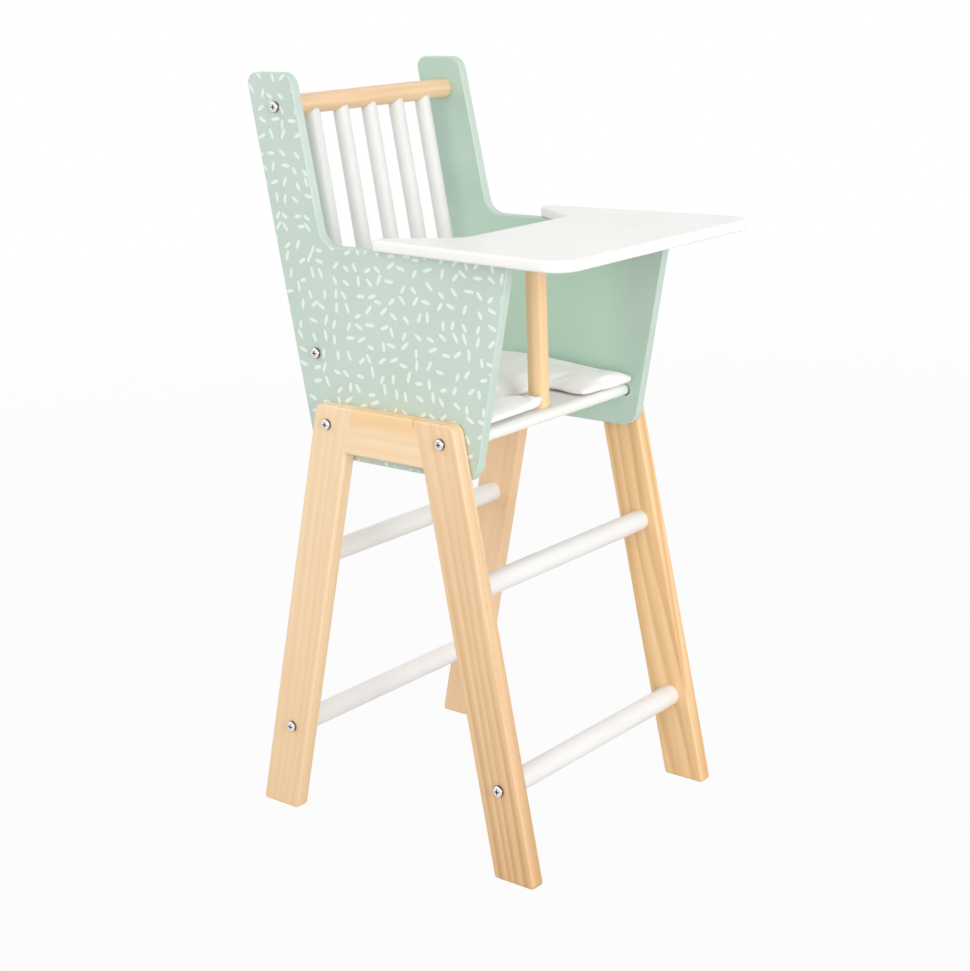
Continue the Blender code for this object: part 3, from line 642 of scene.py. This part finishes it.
seat_corners = (
    (SEAT_FRONT_Y, SEAT_BOTTOM, SEAT_NOSE_RADIUS),
    (SEAT_REAR_Y, SEAT_BOTTOM, SEAT_REAR_RADIUS),
    (SEAT_REAR_Y, SEAT_TOP, SEAT_REAR_RADIUS),
    (SEAT_FRONT_Y, SEAT_TOP, SEAT_NOSE_RADIUS),
)
seat = trace_board("seat_plank", seat_corners, "X", -SEAT_END_X, SEAT_END_X)
above = (0, POST_Y, SEAT_TOP + POST_ROOM)
below = (0, POST_Y, SEAT_BOTTOM - POST_ROOM)
drill(seat, below, above, POST_DIAMETER + 2 * POST_ROOM)
give(seat, [white_paint], "chair", "seat_board")


# Back
#
# Two bare beech rods between the panels, held by a screw through each panel, with five white
# turned spindles glued into blind holes in them.

BACK_RAIL_DIAMETER = 0.016
TOP_RAIL_Y = 0.1264
TOP_RAIL_Z = 0.5440
LOWER_RAIL_Y = 0.0927
LOWER_RAIL_Z = 0.3594
SPINDLE_DIAMETER = 0.0125
SPINDLE_SPACING = 0.0325
SPINDLE_COUNT = 5
SPINDLE_SOCKET = 0.005
BEECH_RELIEF = 0.00003


def make_beech_finish(name, along, light, dark):
    """Clear beech: soft long streaks and fine short flecks that run along one axis of the chair."""
    made, place, feed = new_finish(name, Coat_Weight=0.05, Coat_Roughness=0.35)
    stretch = [0.03 if axis == along else 1.0 for axis in "XYZ"]
    grain = place.placed(location=(0.3, 0.7, 0.2), scale=stretch)
    streak = grain.noise(260, 3)
    fleck = grain.placed(scale=[3.0 if axis == along else 1.0 for axis in "XYZ"]).noise(1900, 1)
    marks = fleck.between(0.6, 0.72)
    depth = streak.between(0.3, 0.7) * 0.85 + marks * 0.22
    colour = depth.clamped().blend(linear(*light), linear(*dark))
    feed(Base_Color=colour, Roughness=0.42 + marks * 0.12, Normal=bump(1.0 - marks, BEECH_RELIEF))
    return made


beech_across = make_beech_finish("beech_across", "X", (242, 212, 176), (226, 187, 140))
beech_upright = make_beech_finish("beech_upright", "Z", (253, 216, 168), (244, 202, 152))

back_rails = {}
for name, y, z in (("top_rail", TOP_RAIL_Y, TOP_RAIL_Z), ("lower_rail", LOWER_RAIL_Y, LOWER_RAIL_Z)):
    end_x = PANEL_INNER_X - JOINT_GAP
    rail = make_rod(f"back_{name}_rod", (-end_x, y, z), (end_x, y, z), BACK_RAIL_DIAMETER)
    give(rail, [beech_across], "chair", f"back_{name}")
    back_rails[name] = rail

rail_foot = Vector((0, LOWER_RAIL_Y, LOWER_RAIL_Z))
rail_head = Vector((0, TOP_RAIL_Y, TOP_RAIL_Z))
upward = (rail_head - rail_foot).normalized()
inset = upward * (BACK_RAIL_DIAMETER / 2 - SPINDLE_SOCKET)
depth = upward * BACK_RAIL_DIAMETER
# The spindles take a greyer copy of the same white paint: painted shade, for the less light that reaches the
# back.
spindle_paint_painted_shade = make_white_finish("spindle_paint_painted_shade", (231, 231, 228), 0.42)
for index in range(SPINDLE_COUNT):
    across = Vector(((index - (SPINDLE_COUNT - 1) / 2) * SPINDLE_SPACING, 0, 0))
    start = rail_foot + inset + across
    end = rail_head - inset + across
    hole = SPINDLE_DIAMETER + 2 * JOINT_GAP
    drill(back_rails["lower_rail"], start, start + depth, hole)
    drill(back_rails["top_rail"], end - depth, end, hole)
    gap = upward * JOINT_GAP
    spindle = make_rod(f"back_spindle_rod_{index + 1}", start + gap, end - gap, SPINDLE_DIAMETER)
    give(spindle, [spindle_paint_painted_shade], "chair", f"back_spindle_{index + 1}")


# Tray
#
# A white 8.5 mm board with its edges rounded over and a cut-out for the doll's belly. Its two
# arms lie on the armrests, and it lifts off with its beech post and its two locating pegs.

TRAY_BOTTOM = 0.4418
TRAY_TOP = 0.4503
TRAY_HALF = (                     # x, y and radius of the right half's corners
    (0.1240, -0.1552, 0.019),
    (0.1080, 0.0304, 0.0045),
    (0.0970, 0.0304, 0.003),
    (0.0662, -0.0225, 0.020),
)
TRAY_RIM = 0.0022
POST_SOCKET_TOP = 0.4458
POST_RIM = 0.0008
PEG_X = 0.099
PEG_DIAMETER = 0.0045
PEG_FOOT = 0.4315
PEG_ROOM = 0.0003
PEG_RIM = 0.0004

tray_corners = TRAY_HALF + tuple((-x, y, radius) for x, y, radius in reversed(TRAY_HALF))
tray = trace_board("tray_plank", tray_corners, "Z", TRAY_BOTTOM, TRAY_TOP)
round_rims(tray, "Z", (TRAY_BOTTOM, TRAY_TOP), TRAY_RIM)
give(tray, [white_paint], "tray", "tray_board")
below = (0, POST_Y, TRAY_BOTTOM - POST_ROOM)
socket_end = Vector((0, POST_Y, POST_SOCKET_TOP))
drill(tray, below, socket_end, POST_DIAMETER + 2 * JOINT_GAP)
gap = Vector((0, 0, JOINT_GAP))
post = make_rod("tray_post_rod", (0, POST_Y, SEAT_BOTTOM), socket_end - gap, POST_DIAMETER, POST_RIM)
give(post, [beech_upright], "tray", "tray_post")

for side, sign in SIDES.items():
    foot = Vector((sign * PEG_X, POST_Y, PEG_FOOT))
    head = Vector((sign * PEG_X, POST_Y, TRAY_TOP - JOINT_GAP))
    room = Vector((0, 0, PEG_ROOM))
    for board in (tray, panels[side]):
        drill(board, foot - room, head + room, PEG_DIAMETER + 2 * PEG_ROOM)
    peg = make_rod(f"tray_{side}_peg_rod", foot, head, PEG_DIAMETER, PEG_RIM)
    give(peg, [beech_upright, white_paint], "tray", f"tray_{side}_peg")
    finish_faces(peg, 1, lambda face: face.center.z > head.z - 2 * PEG_RIM)


# Frame dowels
#
# Four beech pins, hidden in the butt joints of the leg frames. They keep their CAD shape.

for side in SIDES:
    for end in ("front", "rear"):
        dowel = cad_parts[f"{side}_{end}_frame_dowel"]
        dowel.data.materials.clear()
        dowel.data.materials.append(beech_across)


# Screws
#
# Twelve bright zinc-plated wood screws with domed pan heads and crossed recesses: on each side
# two hold the back rails, two go through leg and panel into the seat, two hold the lower rungs.

HEAD_DIAMETER = 0.0083
HEAD_HEIGHT = 0.0026
HEAD_ROUND = 0.0018
HEAD_LIFT = 0.0003
SHANK_DIAMETER = 0.0040
SHANK_ROOM = 0.0003
TIP_LENGTH = 0.004
RECESS_SPAN = 0.0050
RECESS_WIDTH = 0.0012
RECESS_DEPTH = 0.0015
RECESS_TAPER = 0.55               # the recess's floor, as a share of its mouth
TIP_TAPER = 0.1
HEAD_STEPS = 6
HEAD_SIDES = 48
SHANK_SIDES = 24
PAINTED_SHADE_WALL = 0.0003              # how far in from the head's rim the painted shade reaches
PAINTED_SHADE_MARGIN = 0.0001            # how far below the head's top it ends
ZINC_RELIEF = 0.00001
BACK_SCREW_LENGTH = 0.028
RUNG_SCREW_LENGTH = 0.035
SEAT_SCREW_LENGTH = 0.042
SEAT_SCREW_OFFSET = 0.0037


def make_screw_finish(name, light, dark, softness):
    """Zinc plate: fine turning marks and slightly uneven gloss."""
    made, place, feed = new_finish(name, Metallic=1.0)
    cloud = place.noise(900, 3)
    colour = cloud.between(0.3, 0.7).blend(linear(*light), linear(*dark))
    feed(Base_Color=colour, Roughness=softness + cloud * 0.12, Normal=bump(cloud, ZINC_RELIEF))
    return made


def make_screw_head():
    """A screw along +X, with its head's underside at the origin and its dome towards +X."""
    bpy.ops.object.select_all(action="DESELECT")
    bpy.ops.mesh.primitive_cylinder_add(
        vertices=HEAD_SIDES,
        radius=HEAD_DIAMETER / 2,
        depth=HEAD_HEIGHT,
        location=(HEAD_HEIGHT / 2, 0, 0),
        rotation=(0, math.pi / 2, 0),
    )
    screw = bpy.context.object
    bpy.ops.object.transform_apply(location=True, rotation=True, scale=True)
    select_where(screw, "edges", lambda edge: all(vert.co.x > HEAD_HEIGHT - NEARLY for vert in edge.verts))
    bpy.ops.mesh.bevel(offset=HEAD_ROUND, segments=HEAD_STEPS, affect="EDGES")
    bpy.ops.object.mode_set(mode="OBJECT")
    for span, width in ((RECESS_SPAN, RECESS_WIDTH), (RECESS_WIDTH, RECESS_SPAN)):
        bpy.ops.object.select_all(action="DESELECT")
        bpy.ops.mesh.primitive_cube_add(size=1, location=(HEAD_HEIGHT, 0, 0))
        bpy.context.object.scale = (2 * RECESS_DEPTH, span, width)
        arm = bpy.context.object
        bpy.ops.object.transform_apply(location=True, rotation=True, scale=True)
        select_where(arm, "faces", lambda face: face.normal.x < -0.5)
        bpy.ops.transform.resize(value=(1, RECESS_TAPER, RECESS_TAPER))
        bpy.ops.object.mode_set(mode="OBJECT")
        carve(screw, arm)
    return screw


def add_shank(head, length):
    """A screw of one length: the head with its shank and point."""
    screw = head.copy()
    screw.data = head.data.copy()
    bpy.context.scene.collection.objects.link(screw)
    bpy.ops.object.select_all(action="DESELECT")
    bpy.ops.mesh.primitive_cylinder_add(
        vertices=SHANK_SIDES,
        radius=SHANK_DIAMETER / 2,
        depth=length - TIP_LENGTH,
        location=((TIP_LENGTH - length) / 2, 0, 0),
        rotation=(0, math.pi / 2, 0),
    )
    shank = bpy.context.object
    bpy.ops.object.transform_apply(location=True, rotation=True, scale=True)
    select_where(shank, "faces", lambda face: face.normal.x < -0.5)
    bpy.ops.mesh.extrude_region_move(TRANSFORM_OT_translate={"value": (-TIP_LENGTH, 0, 0)})
    bpy.ops.transform.resize(value=(1, TIP_TAPER, TIP_TAPER))
    bpy.ops.object.mode_set(mode="OBJECT")
    pick(screw)
    union = screw.modifiers.new("join", "BOOLEAN")
    union.operation = "UNION"
    union.object = shank
    bpy.ops.object.modifier_apply(modifier=union.name)
    bpy.data.objects.remove(shank)
    return screw


def painted_shade_face(face):
    """Whether a face is on the head's upright wall or in its recess, where shade and a dark reflection of the
    wood are painted.
    """
    reach = math.hypot(face.center.y, face.center.z)
    on_wall = reach > HEAD_DIAMETER / 2 - PAINTED_SHADE_WALL
    in_recess = reach < RECESS_SPAN / 2 and 0 < face.center.x < HEAD_HEIGHT - PAINTED_SHADE_MARGIN
    return on_wall or in_recess


def fix_screw(name, side, pattern, length, surface_x, y, z, held):
    """Copy a screw to its place in a side, and drill the boards and rods that it holds."""
    sign = SIDES[side]
    seat = Vector((sign * (surface_x + HEAD_LIFT), y, z))
    screw = pattern.copy()
    screw.data = pattern.data.copy()
    screw.name = f"{side}_{name}_fixing"
    bpy.context.scene.collection.objects.link(screw)
    give(screw, [zinc, zinc_painted_shade], "chair", f"{side}_{name}_screw")
    finish_faces(screw, 1, painted_shade_face)
    turn = Matrix.Rotation(0 if sign > 0 else math.pi, 4, "Z")
    screw.data.transform(Matrix.Translation(seat) @ turn)
    end = seat - Vector((sign * (length + SHANK_ROOM), 0, 0))
    for piece in held:
        drill(piece, seat, end, SHANK_DIAMETER + 2 * SHANK_ROOM)


zinc = make_screw_finish("zinc_plate", (240, 239, 240), (214, 214, 218), 0.16)
# The head's wall and recess take a dark brownish copy of the zinc: painted shade and a painted reflection of
# the wood.
zinc_painted_shade = make_screw_finish("zinc_plate_painted_shade", (132, 122, 112), (104, 94, 84), 0.4)
head_only = make_screw_head()
back_screw = add_shank(head_only, BACK_SCREW_LENGTH)
rung_screw = add_shank(head_only, RUNG_SCREW_LENGTH)
seat_screw = add_shank(head_only, SEAT_SCREW_LENGTH)

for side in SIDES:
    panel = panels[side]
    for name, y, z in (("top_rail", TOP_RAIL_Y, TOP_RAIL_Z), ("lower_rail", LOWER_RAIL_Y, LOWER_RAIL_Z)):
        held = [panel, back_rails[name]]
        fix_screw(name, side, back_screw, BACK_SCREW_LENGTH, PANEL_OUTER_X, y, z, held)
    seat_middle = (SEAT_TOP + SEAT_BOTTOM) / 2
    seat_screw_y = {
        "front": front_leg_y(seat_middle) - SEAT_SCREW_OFFSET,
        "rear": rear_leg_y(seat_middle) + SEAT_SCREW_OFFSET,
    }
    for end, y in seat_screw_y.items():
        held = [legs[side][end], panel, seat]
        name = f"{end}_seat"
        fix_screw(name, side, seat_screw, SEAT_SCREW_LENGTH, LEG_OUTER_X, y, seat_middle, held)
        held = [legs[side][end], rungs[f"{end}_lower"]]
        name = f"{end}_rung"
        y = rung_y[f"{end}_lower"]
        fix_screw(name, side, rung_screw, RUNG_SCREW_LENGTH, LEG_OUTER_X, y, LOWER_RUNG_Z, held)
for pattern in (head_only, back_screw, rung_screw, seat_screw):
    bpy.data.objects.remove(pattern)


# Shading
#
# Each rigid piece is shaded smooth here, once all its holes are drilled.

for piece in rigid_pieces:
    smooth(piece)


# Cushion
#
# A thin bag of white cotton, two sheets sewn together round their rim and loosely filled. It lies
# loose on the seat, notched for the post, with its front rim lifted off the seat board.

CUSHION_CORNERS = (               # x, y and radius of each corner, by way of the notch
    (-0.0945, -0.0510, 0.003),
    (0.0100, -0.0522, 0.0060),
    (-0.0125, -0.0400, 0.008),
    (-0.0125, -0.0105, 0.008),
    (0.0415, -0.0105, 0.008),
    (0.0385, -0.0535, 0.003),
    (0.0945, -0.0585, 0.0035),
    (0.0945, 0.0815, 0.004),
    (-0.0945, 0.0815, 0.004),
)
BAG_REST_Z = SEAT_TOP + 0.0003
BAG_LOW = 0.0032
BAG_HIGH = 0.0058
BAG_MIDDLE = (BAG_LOW + BAG_HIGH) / 2
BAG_VOXEL = 0.002
BAG_SIDE_LIMIT = 0.0946
POST_CLEARANCE = 0.0007
FILL_FRAMES = 20
FILL_PRESSURE = 4.0
FILL_LIMIT = 0.0085
LIP_TIP = Vector((-0.002, -0.048))
LIP_LIFT = 0.0022
LIP_REACH = 0.030
CORNER_TIP = Vector((0.0900, -0.0545))
TIP_SWELL = 0.45
TIP_SWELL_REACH = 0.024
FRONT_EDGE_Y = -0.0515
FRONT_CURL_LEFT = 0.0034
FRONT_CURL_RIGHT = 0.0012
FRONT_CURL_REACH = 0.016
SIDE_CLIMB = 0.0075
SIDE_CLIMB_REACH = 0.024
FRONT_CLIMB_SHARE = 0.4           # of the climb along a panel, at the cushion's front edge
REARWARD_REACH = 0.115
LEFT_FULLNESS = 1.10
RIGHT_FULLNESS = 0.86
THREAD_PITCH = 0.0009
WEAVE_RELIEF = 0.00008


def make_cloth_finish():
    """White cotton: a plain weave with slightly uneven threads."""
    made, place, feed = new_finish("white_cotton", Sheen_Weight=0.15, Sheen_Roughness=0.5)
    cloud = place.noise(40, 3)
    colour = cloud.between(0.3, 0.7).blend(linear(254, 252, 251), linear(251, 249, 248))
    warp = place.part("X") * (2 * math.pi / THREAD_PITCH)
    weft = place.part("Y") * (2 * math.pi / THREAD_PITCH)
    weave = warp.math("SINE", warp) * weft.math("SINE", weft)
    relief = bump(weave * 0.5 + cloud, WEAVE_RELIEF)
    feed(Base_Color=colour, Roughness=0.85 + cloud * 0.1, Normal=relief)
    return made


def fill_bag(bag):
    """Blow the flat bag up like a cushion, and hold each point within reach of where it was."""
    flat = [vert.co.copy() for vert in bag.data.vertices]
    cloth = bag.modifiers.new("fill", "CLOTH")
    settings = cloth.settings
    settings.quality = 6
    settings.mass = 0.15
    settings.tension_stiffness = 12
    settings.compression_stiffness = 8
    settings.shear_stiffness = 4
    settings.bending_stiffness = 0.1
    settings.shrink_min = -0.03
    settings.use_pressure = True
    settings.uniform_pressure_force = FILL_PRESSURE
    settings.effector_weights.gravity = 0
    cloth.collision_settings.use_collision = False
    cloth.point_cache.frame_start = 1
    cloth.point_cache.frame_end = FILL_FRAMES
    for moment in range(1, FILL_FRAMES + 1):
        bpy.context.scene.frame_set(moment)
    pick(bag)
    bpy.ops.object.modifier_apply(modifier=cloth.name)
    bpy.context.scene.frame_set(1)
    for vert, before in zip(bag.data.vertices, flat):
        moved = vert.co - before
        if moved.length > FILL_LIMIT:
            vert.co = before + moved.normalized() * FILL_LIMIT


def eased(share):
    """A share held between 0 and 1, and eased at both ends."""
    held = max(0.0, min(share, 1.0))
    return held * held * (3 - 2 * held)


def settle_bag(bag):
    """Give the filled bag the shape that it has on the seat.

    It is fuller on the left and at its two front tips, and pushed up along the panels. The lip by
    the post is lifted, the front rim curls up, the underside lies flat, and the bag is kept clear
    of the panels and of the post.
    """
    post_reach = POST_DIAMETER / 2 + POST_CLEARANCE
    for vert in bag.data.vertices:
        place = vert.co
        share = (place.x + PANEL_INNER_X) / (2 * PANEL_INNER_X)
        fullness = LEFT_FULLNESS + (RIGHT_FULLNESS - LEFT_FULLNESS) * share
        nearest = min((place.xy - tip).length for tip in (LIP_TIP, CORNER_TIP))
        swell = 1 + TIP_SWELL * eased(1 - nearest / TIP_SWELL_REACH)
        height = (BAG_MIDDLE + (place.z - BAG_REST_Z - BAG_MIDDLE) * swell) * fullness
        height += LIP_LIFT * eased(1 - (place.xy - LIP_TIP).length / LIP_REACH)
        backward = eased((place.y - FRONT_EDGE_Y) / REARWARD_REACH)
        rearward = FRONT_CLIMB_SHARE + (1 - FRONT_CLIMB_SHARE) * backward
        height += SIDE_CLIMB * rearward * eased(1 - (PANEL_INNER_X - abs(place.x)) / SIDE_CLIMB_REACH)
        curl = FRONT_CURL_LEFT + (FRONT_CURL_RIGHT - FRONT_CURL_LEFT) * eased(share)
        underside = curl * eased(1 - (place.y - FRONT_EDGE_Y) / FRONT_CURL_REACH)
        place.z = BAG_REST_Z + max(height, underside)
        place.x = max(-BAG_SIDE_LIMIT, min(place.x, BAG_SIDE_LIMIT))
        from_post = place.xy - Vector((0, POST_Y))
        if from_post.length < post_reach:
            place.xy = Vector((0, POST_Y)) + from_post.normalized() * post_reach


cloth = make_cloth_finish()
cushion = trace_board("cushion_bag", CUSHION_CORNERS, "Z", BAG_REST_Z + BAG_LOW, BAG_REST_Z + BAG_HIGH)
remesh = cushion.modifiers.new("remesh", "REMESH")
remesh.mode = "VOXEL"
remesh.voxel_size = BAG_VOXEL
bpy.ops.object.modifier_apply(modifier=remesh.name)
fill_bag(cushion)
settle_bag(cushion)
pick(cushion)
bpy.ops.object.shade_smooth()
soften = cushion.modifiers.new("soften", "SUBSURF")
soften.levels = 1
soften.render_levels = 1
bpy.ops.object.modifier_apply(modifier=soften.name)
cushion.data.materials.append(cloth)
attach(cushion, "cushion")
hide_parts("seat_cushion")


# Floor and backdrop
#
# One pale sweep that looks white in the picture and keeps a faint shadow under the chair. It
# glows only for the rays that show it, so it adds no light to the object, and wholly far out.

FLOOR_SIZE = 12
FLOOR_GLOW = 0.94
FADE_START = 0.9
FADE_END = 3.0
SKY_LOW = 0.62
SKY_HIGH = 0.80


def shown_rays(tree):
    """1 for the rays that show the backdrop: the camera's, mirrored ones and those through glass."""
    rays = tree.nodes.new("ShaderNodeLightPath")
    camera_rays = Signal(tree, rays.outputs["Is Camera Ray"])
    glossy_rays = Signal(tree, rays.outputs["Is Glossy Ray"])
    passing_rays = Signal(tree, rays.outputs["Is Transmission Ray"])
    return (camera_rays + glossy_rays + passing_rays).clamped()


def make_floor_finish():
    """A matt pale grey sweep that shows nearly white, a little dimmer round the chair."""
    made, place, feed = new_finish("pale_sweep", Roughness=0.9)
    tree = made.node_tree
    speckle = place.noise(300, 2)
    feed(Base_Color=speckle.blend(linear(200, 200, 200), linear(206, 206, 206)))
    glow = tree.nodes.new("ShaderNodeEmission")
    mixed = tree.nodes.new("ShaderNodeMixShader")
    away = place.node("VectorMath", {"operation": "LENGTH"}, {0: place}, "Value")
    share = FLOOR_GLOW + away.between(FADE_START, FADE_END) * (1.0 - FLOOR_GLOW)
    tree.links.new((shown_rays(tree) * share).socket, mixed.inputs[0])
    tree.links.new(tree.nodes["Principled BSDF"].outputs[0], mixed.inputs[1])
    tree.links.new(glow.outputs[0], mixed.inputs[2])
    tree.links.new(mixed.outputs[0], tree.nodes["Material Output"].inputs["Surface"])
    return made


bpy.ops.object.select_all(action="DESELECT")
bpy.ops.mesh.primitive_plane_add(size=FLOOR_SIZE, location=(0, 0, 0))
floor = bpy.context.object
floor.name = "floor"
floor.data.materials.append(make_floor_finish())

world = bpy.data.worlds.new("studio")
world.use_nodes = True
sky = world.node_tree
up = Signal(sky, sky.nodes.new("ShaderNodeTexCoord").outputs["Generated"]).part("Z")
level = SKY_LOW + up.between(0.0, 0.8) * (SKY_HIGH - SKY_LOW)
shown = shown_rays(sky)
strength = shown + (1.0 - shown) * level
sky.links.new(strength.socket, sky.nodes["Background"].inputs["Strength"])
sky.nodes["Background"].inputs["Color"].default_value = (1, 1, 1, 1)
bpy.context.scene.world = world


# Lamps
#
# Three large soft boxes round the chair, all turned to its middle: the front one is the main
# light, and the left and rear ones keep the shaded sides pale.

LAMP_TARGET = Vector((0, 0, 0.35))


def add_lamp(name, location, size, power):
    """A square soft box that points at the middle of the chair."""
    lamp = bpy.data.lights.new(name, "AREA")
    lamp.size = size
    lamp.energy = power
    made = bpy.data.objects.new(name, lamp)
    made.location = location
    made.rotation_euler = (LAMP_TARGET - Vector(location)).to_track_quat("-Z", "Y").to_euler()
    bpy.context.scene.collection.objects.link(made)


add_lamp("left_softbox", (-2.2, -0.45, 1.0), 1.2, 10)
add_lamp("front_softbox", (-0.7, -2.2, 0.8), 1.2, 25)
add_lamp("rear_softbox", (-1.0, 1.9, 1.9), 1.4, 10)


# Camera
#
# It stands to the front left of the chair, a little higher than its back. Its place, turn,
# focal length and shift were fitted to the chair's edges in the photograph.

CAMERA_PLACE = Vector((-1.15131, -0.92258, 0.65959))
CAMERA_RIGHT = Vector((0.626005, -0.779326, -0.027731))
CAMERA_UP = Vector((0.095701, 0.041484, 0.994545))
PICTURE_WIDTH = 970
FOCAL_PIXELS = 1962.53
SHIFT_PIXELS = -340.24
FILM_WIDTH = 36

camera_data = bpy.data.cameras.new("camera")
camera_data.sensor_fit = "HORIZONTAL"
camera_data.sensor_width = FILM_WIDTH
camera_data.lens = FOCAL_PIXELS * FILM_WIDTH / PICTURE_WIDTH
camera_data.shift_y = SHIFT_PIXELS / PICTURE_WIDTH
camera = bpy.data.objects.new("camera", camera_data)
camera_back = CAMERA_RIGHT.cross(CAMERA_UP)
turn = Matrix((CAMERA_RIGHT, CAMERA_UP, camera_back)).transposed()
camera.matrix_world = Matrix.Translation(CAMERA_PLACE) @ turn.to_4x4()
bpy.context.scene.collection.objects.link(camera)
bpy.context.scene.camera = camera
bpy.context.scene.view_settings.view_transform = "Standard"
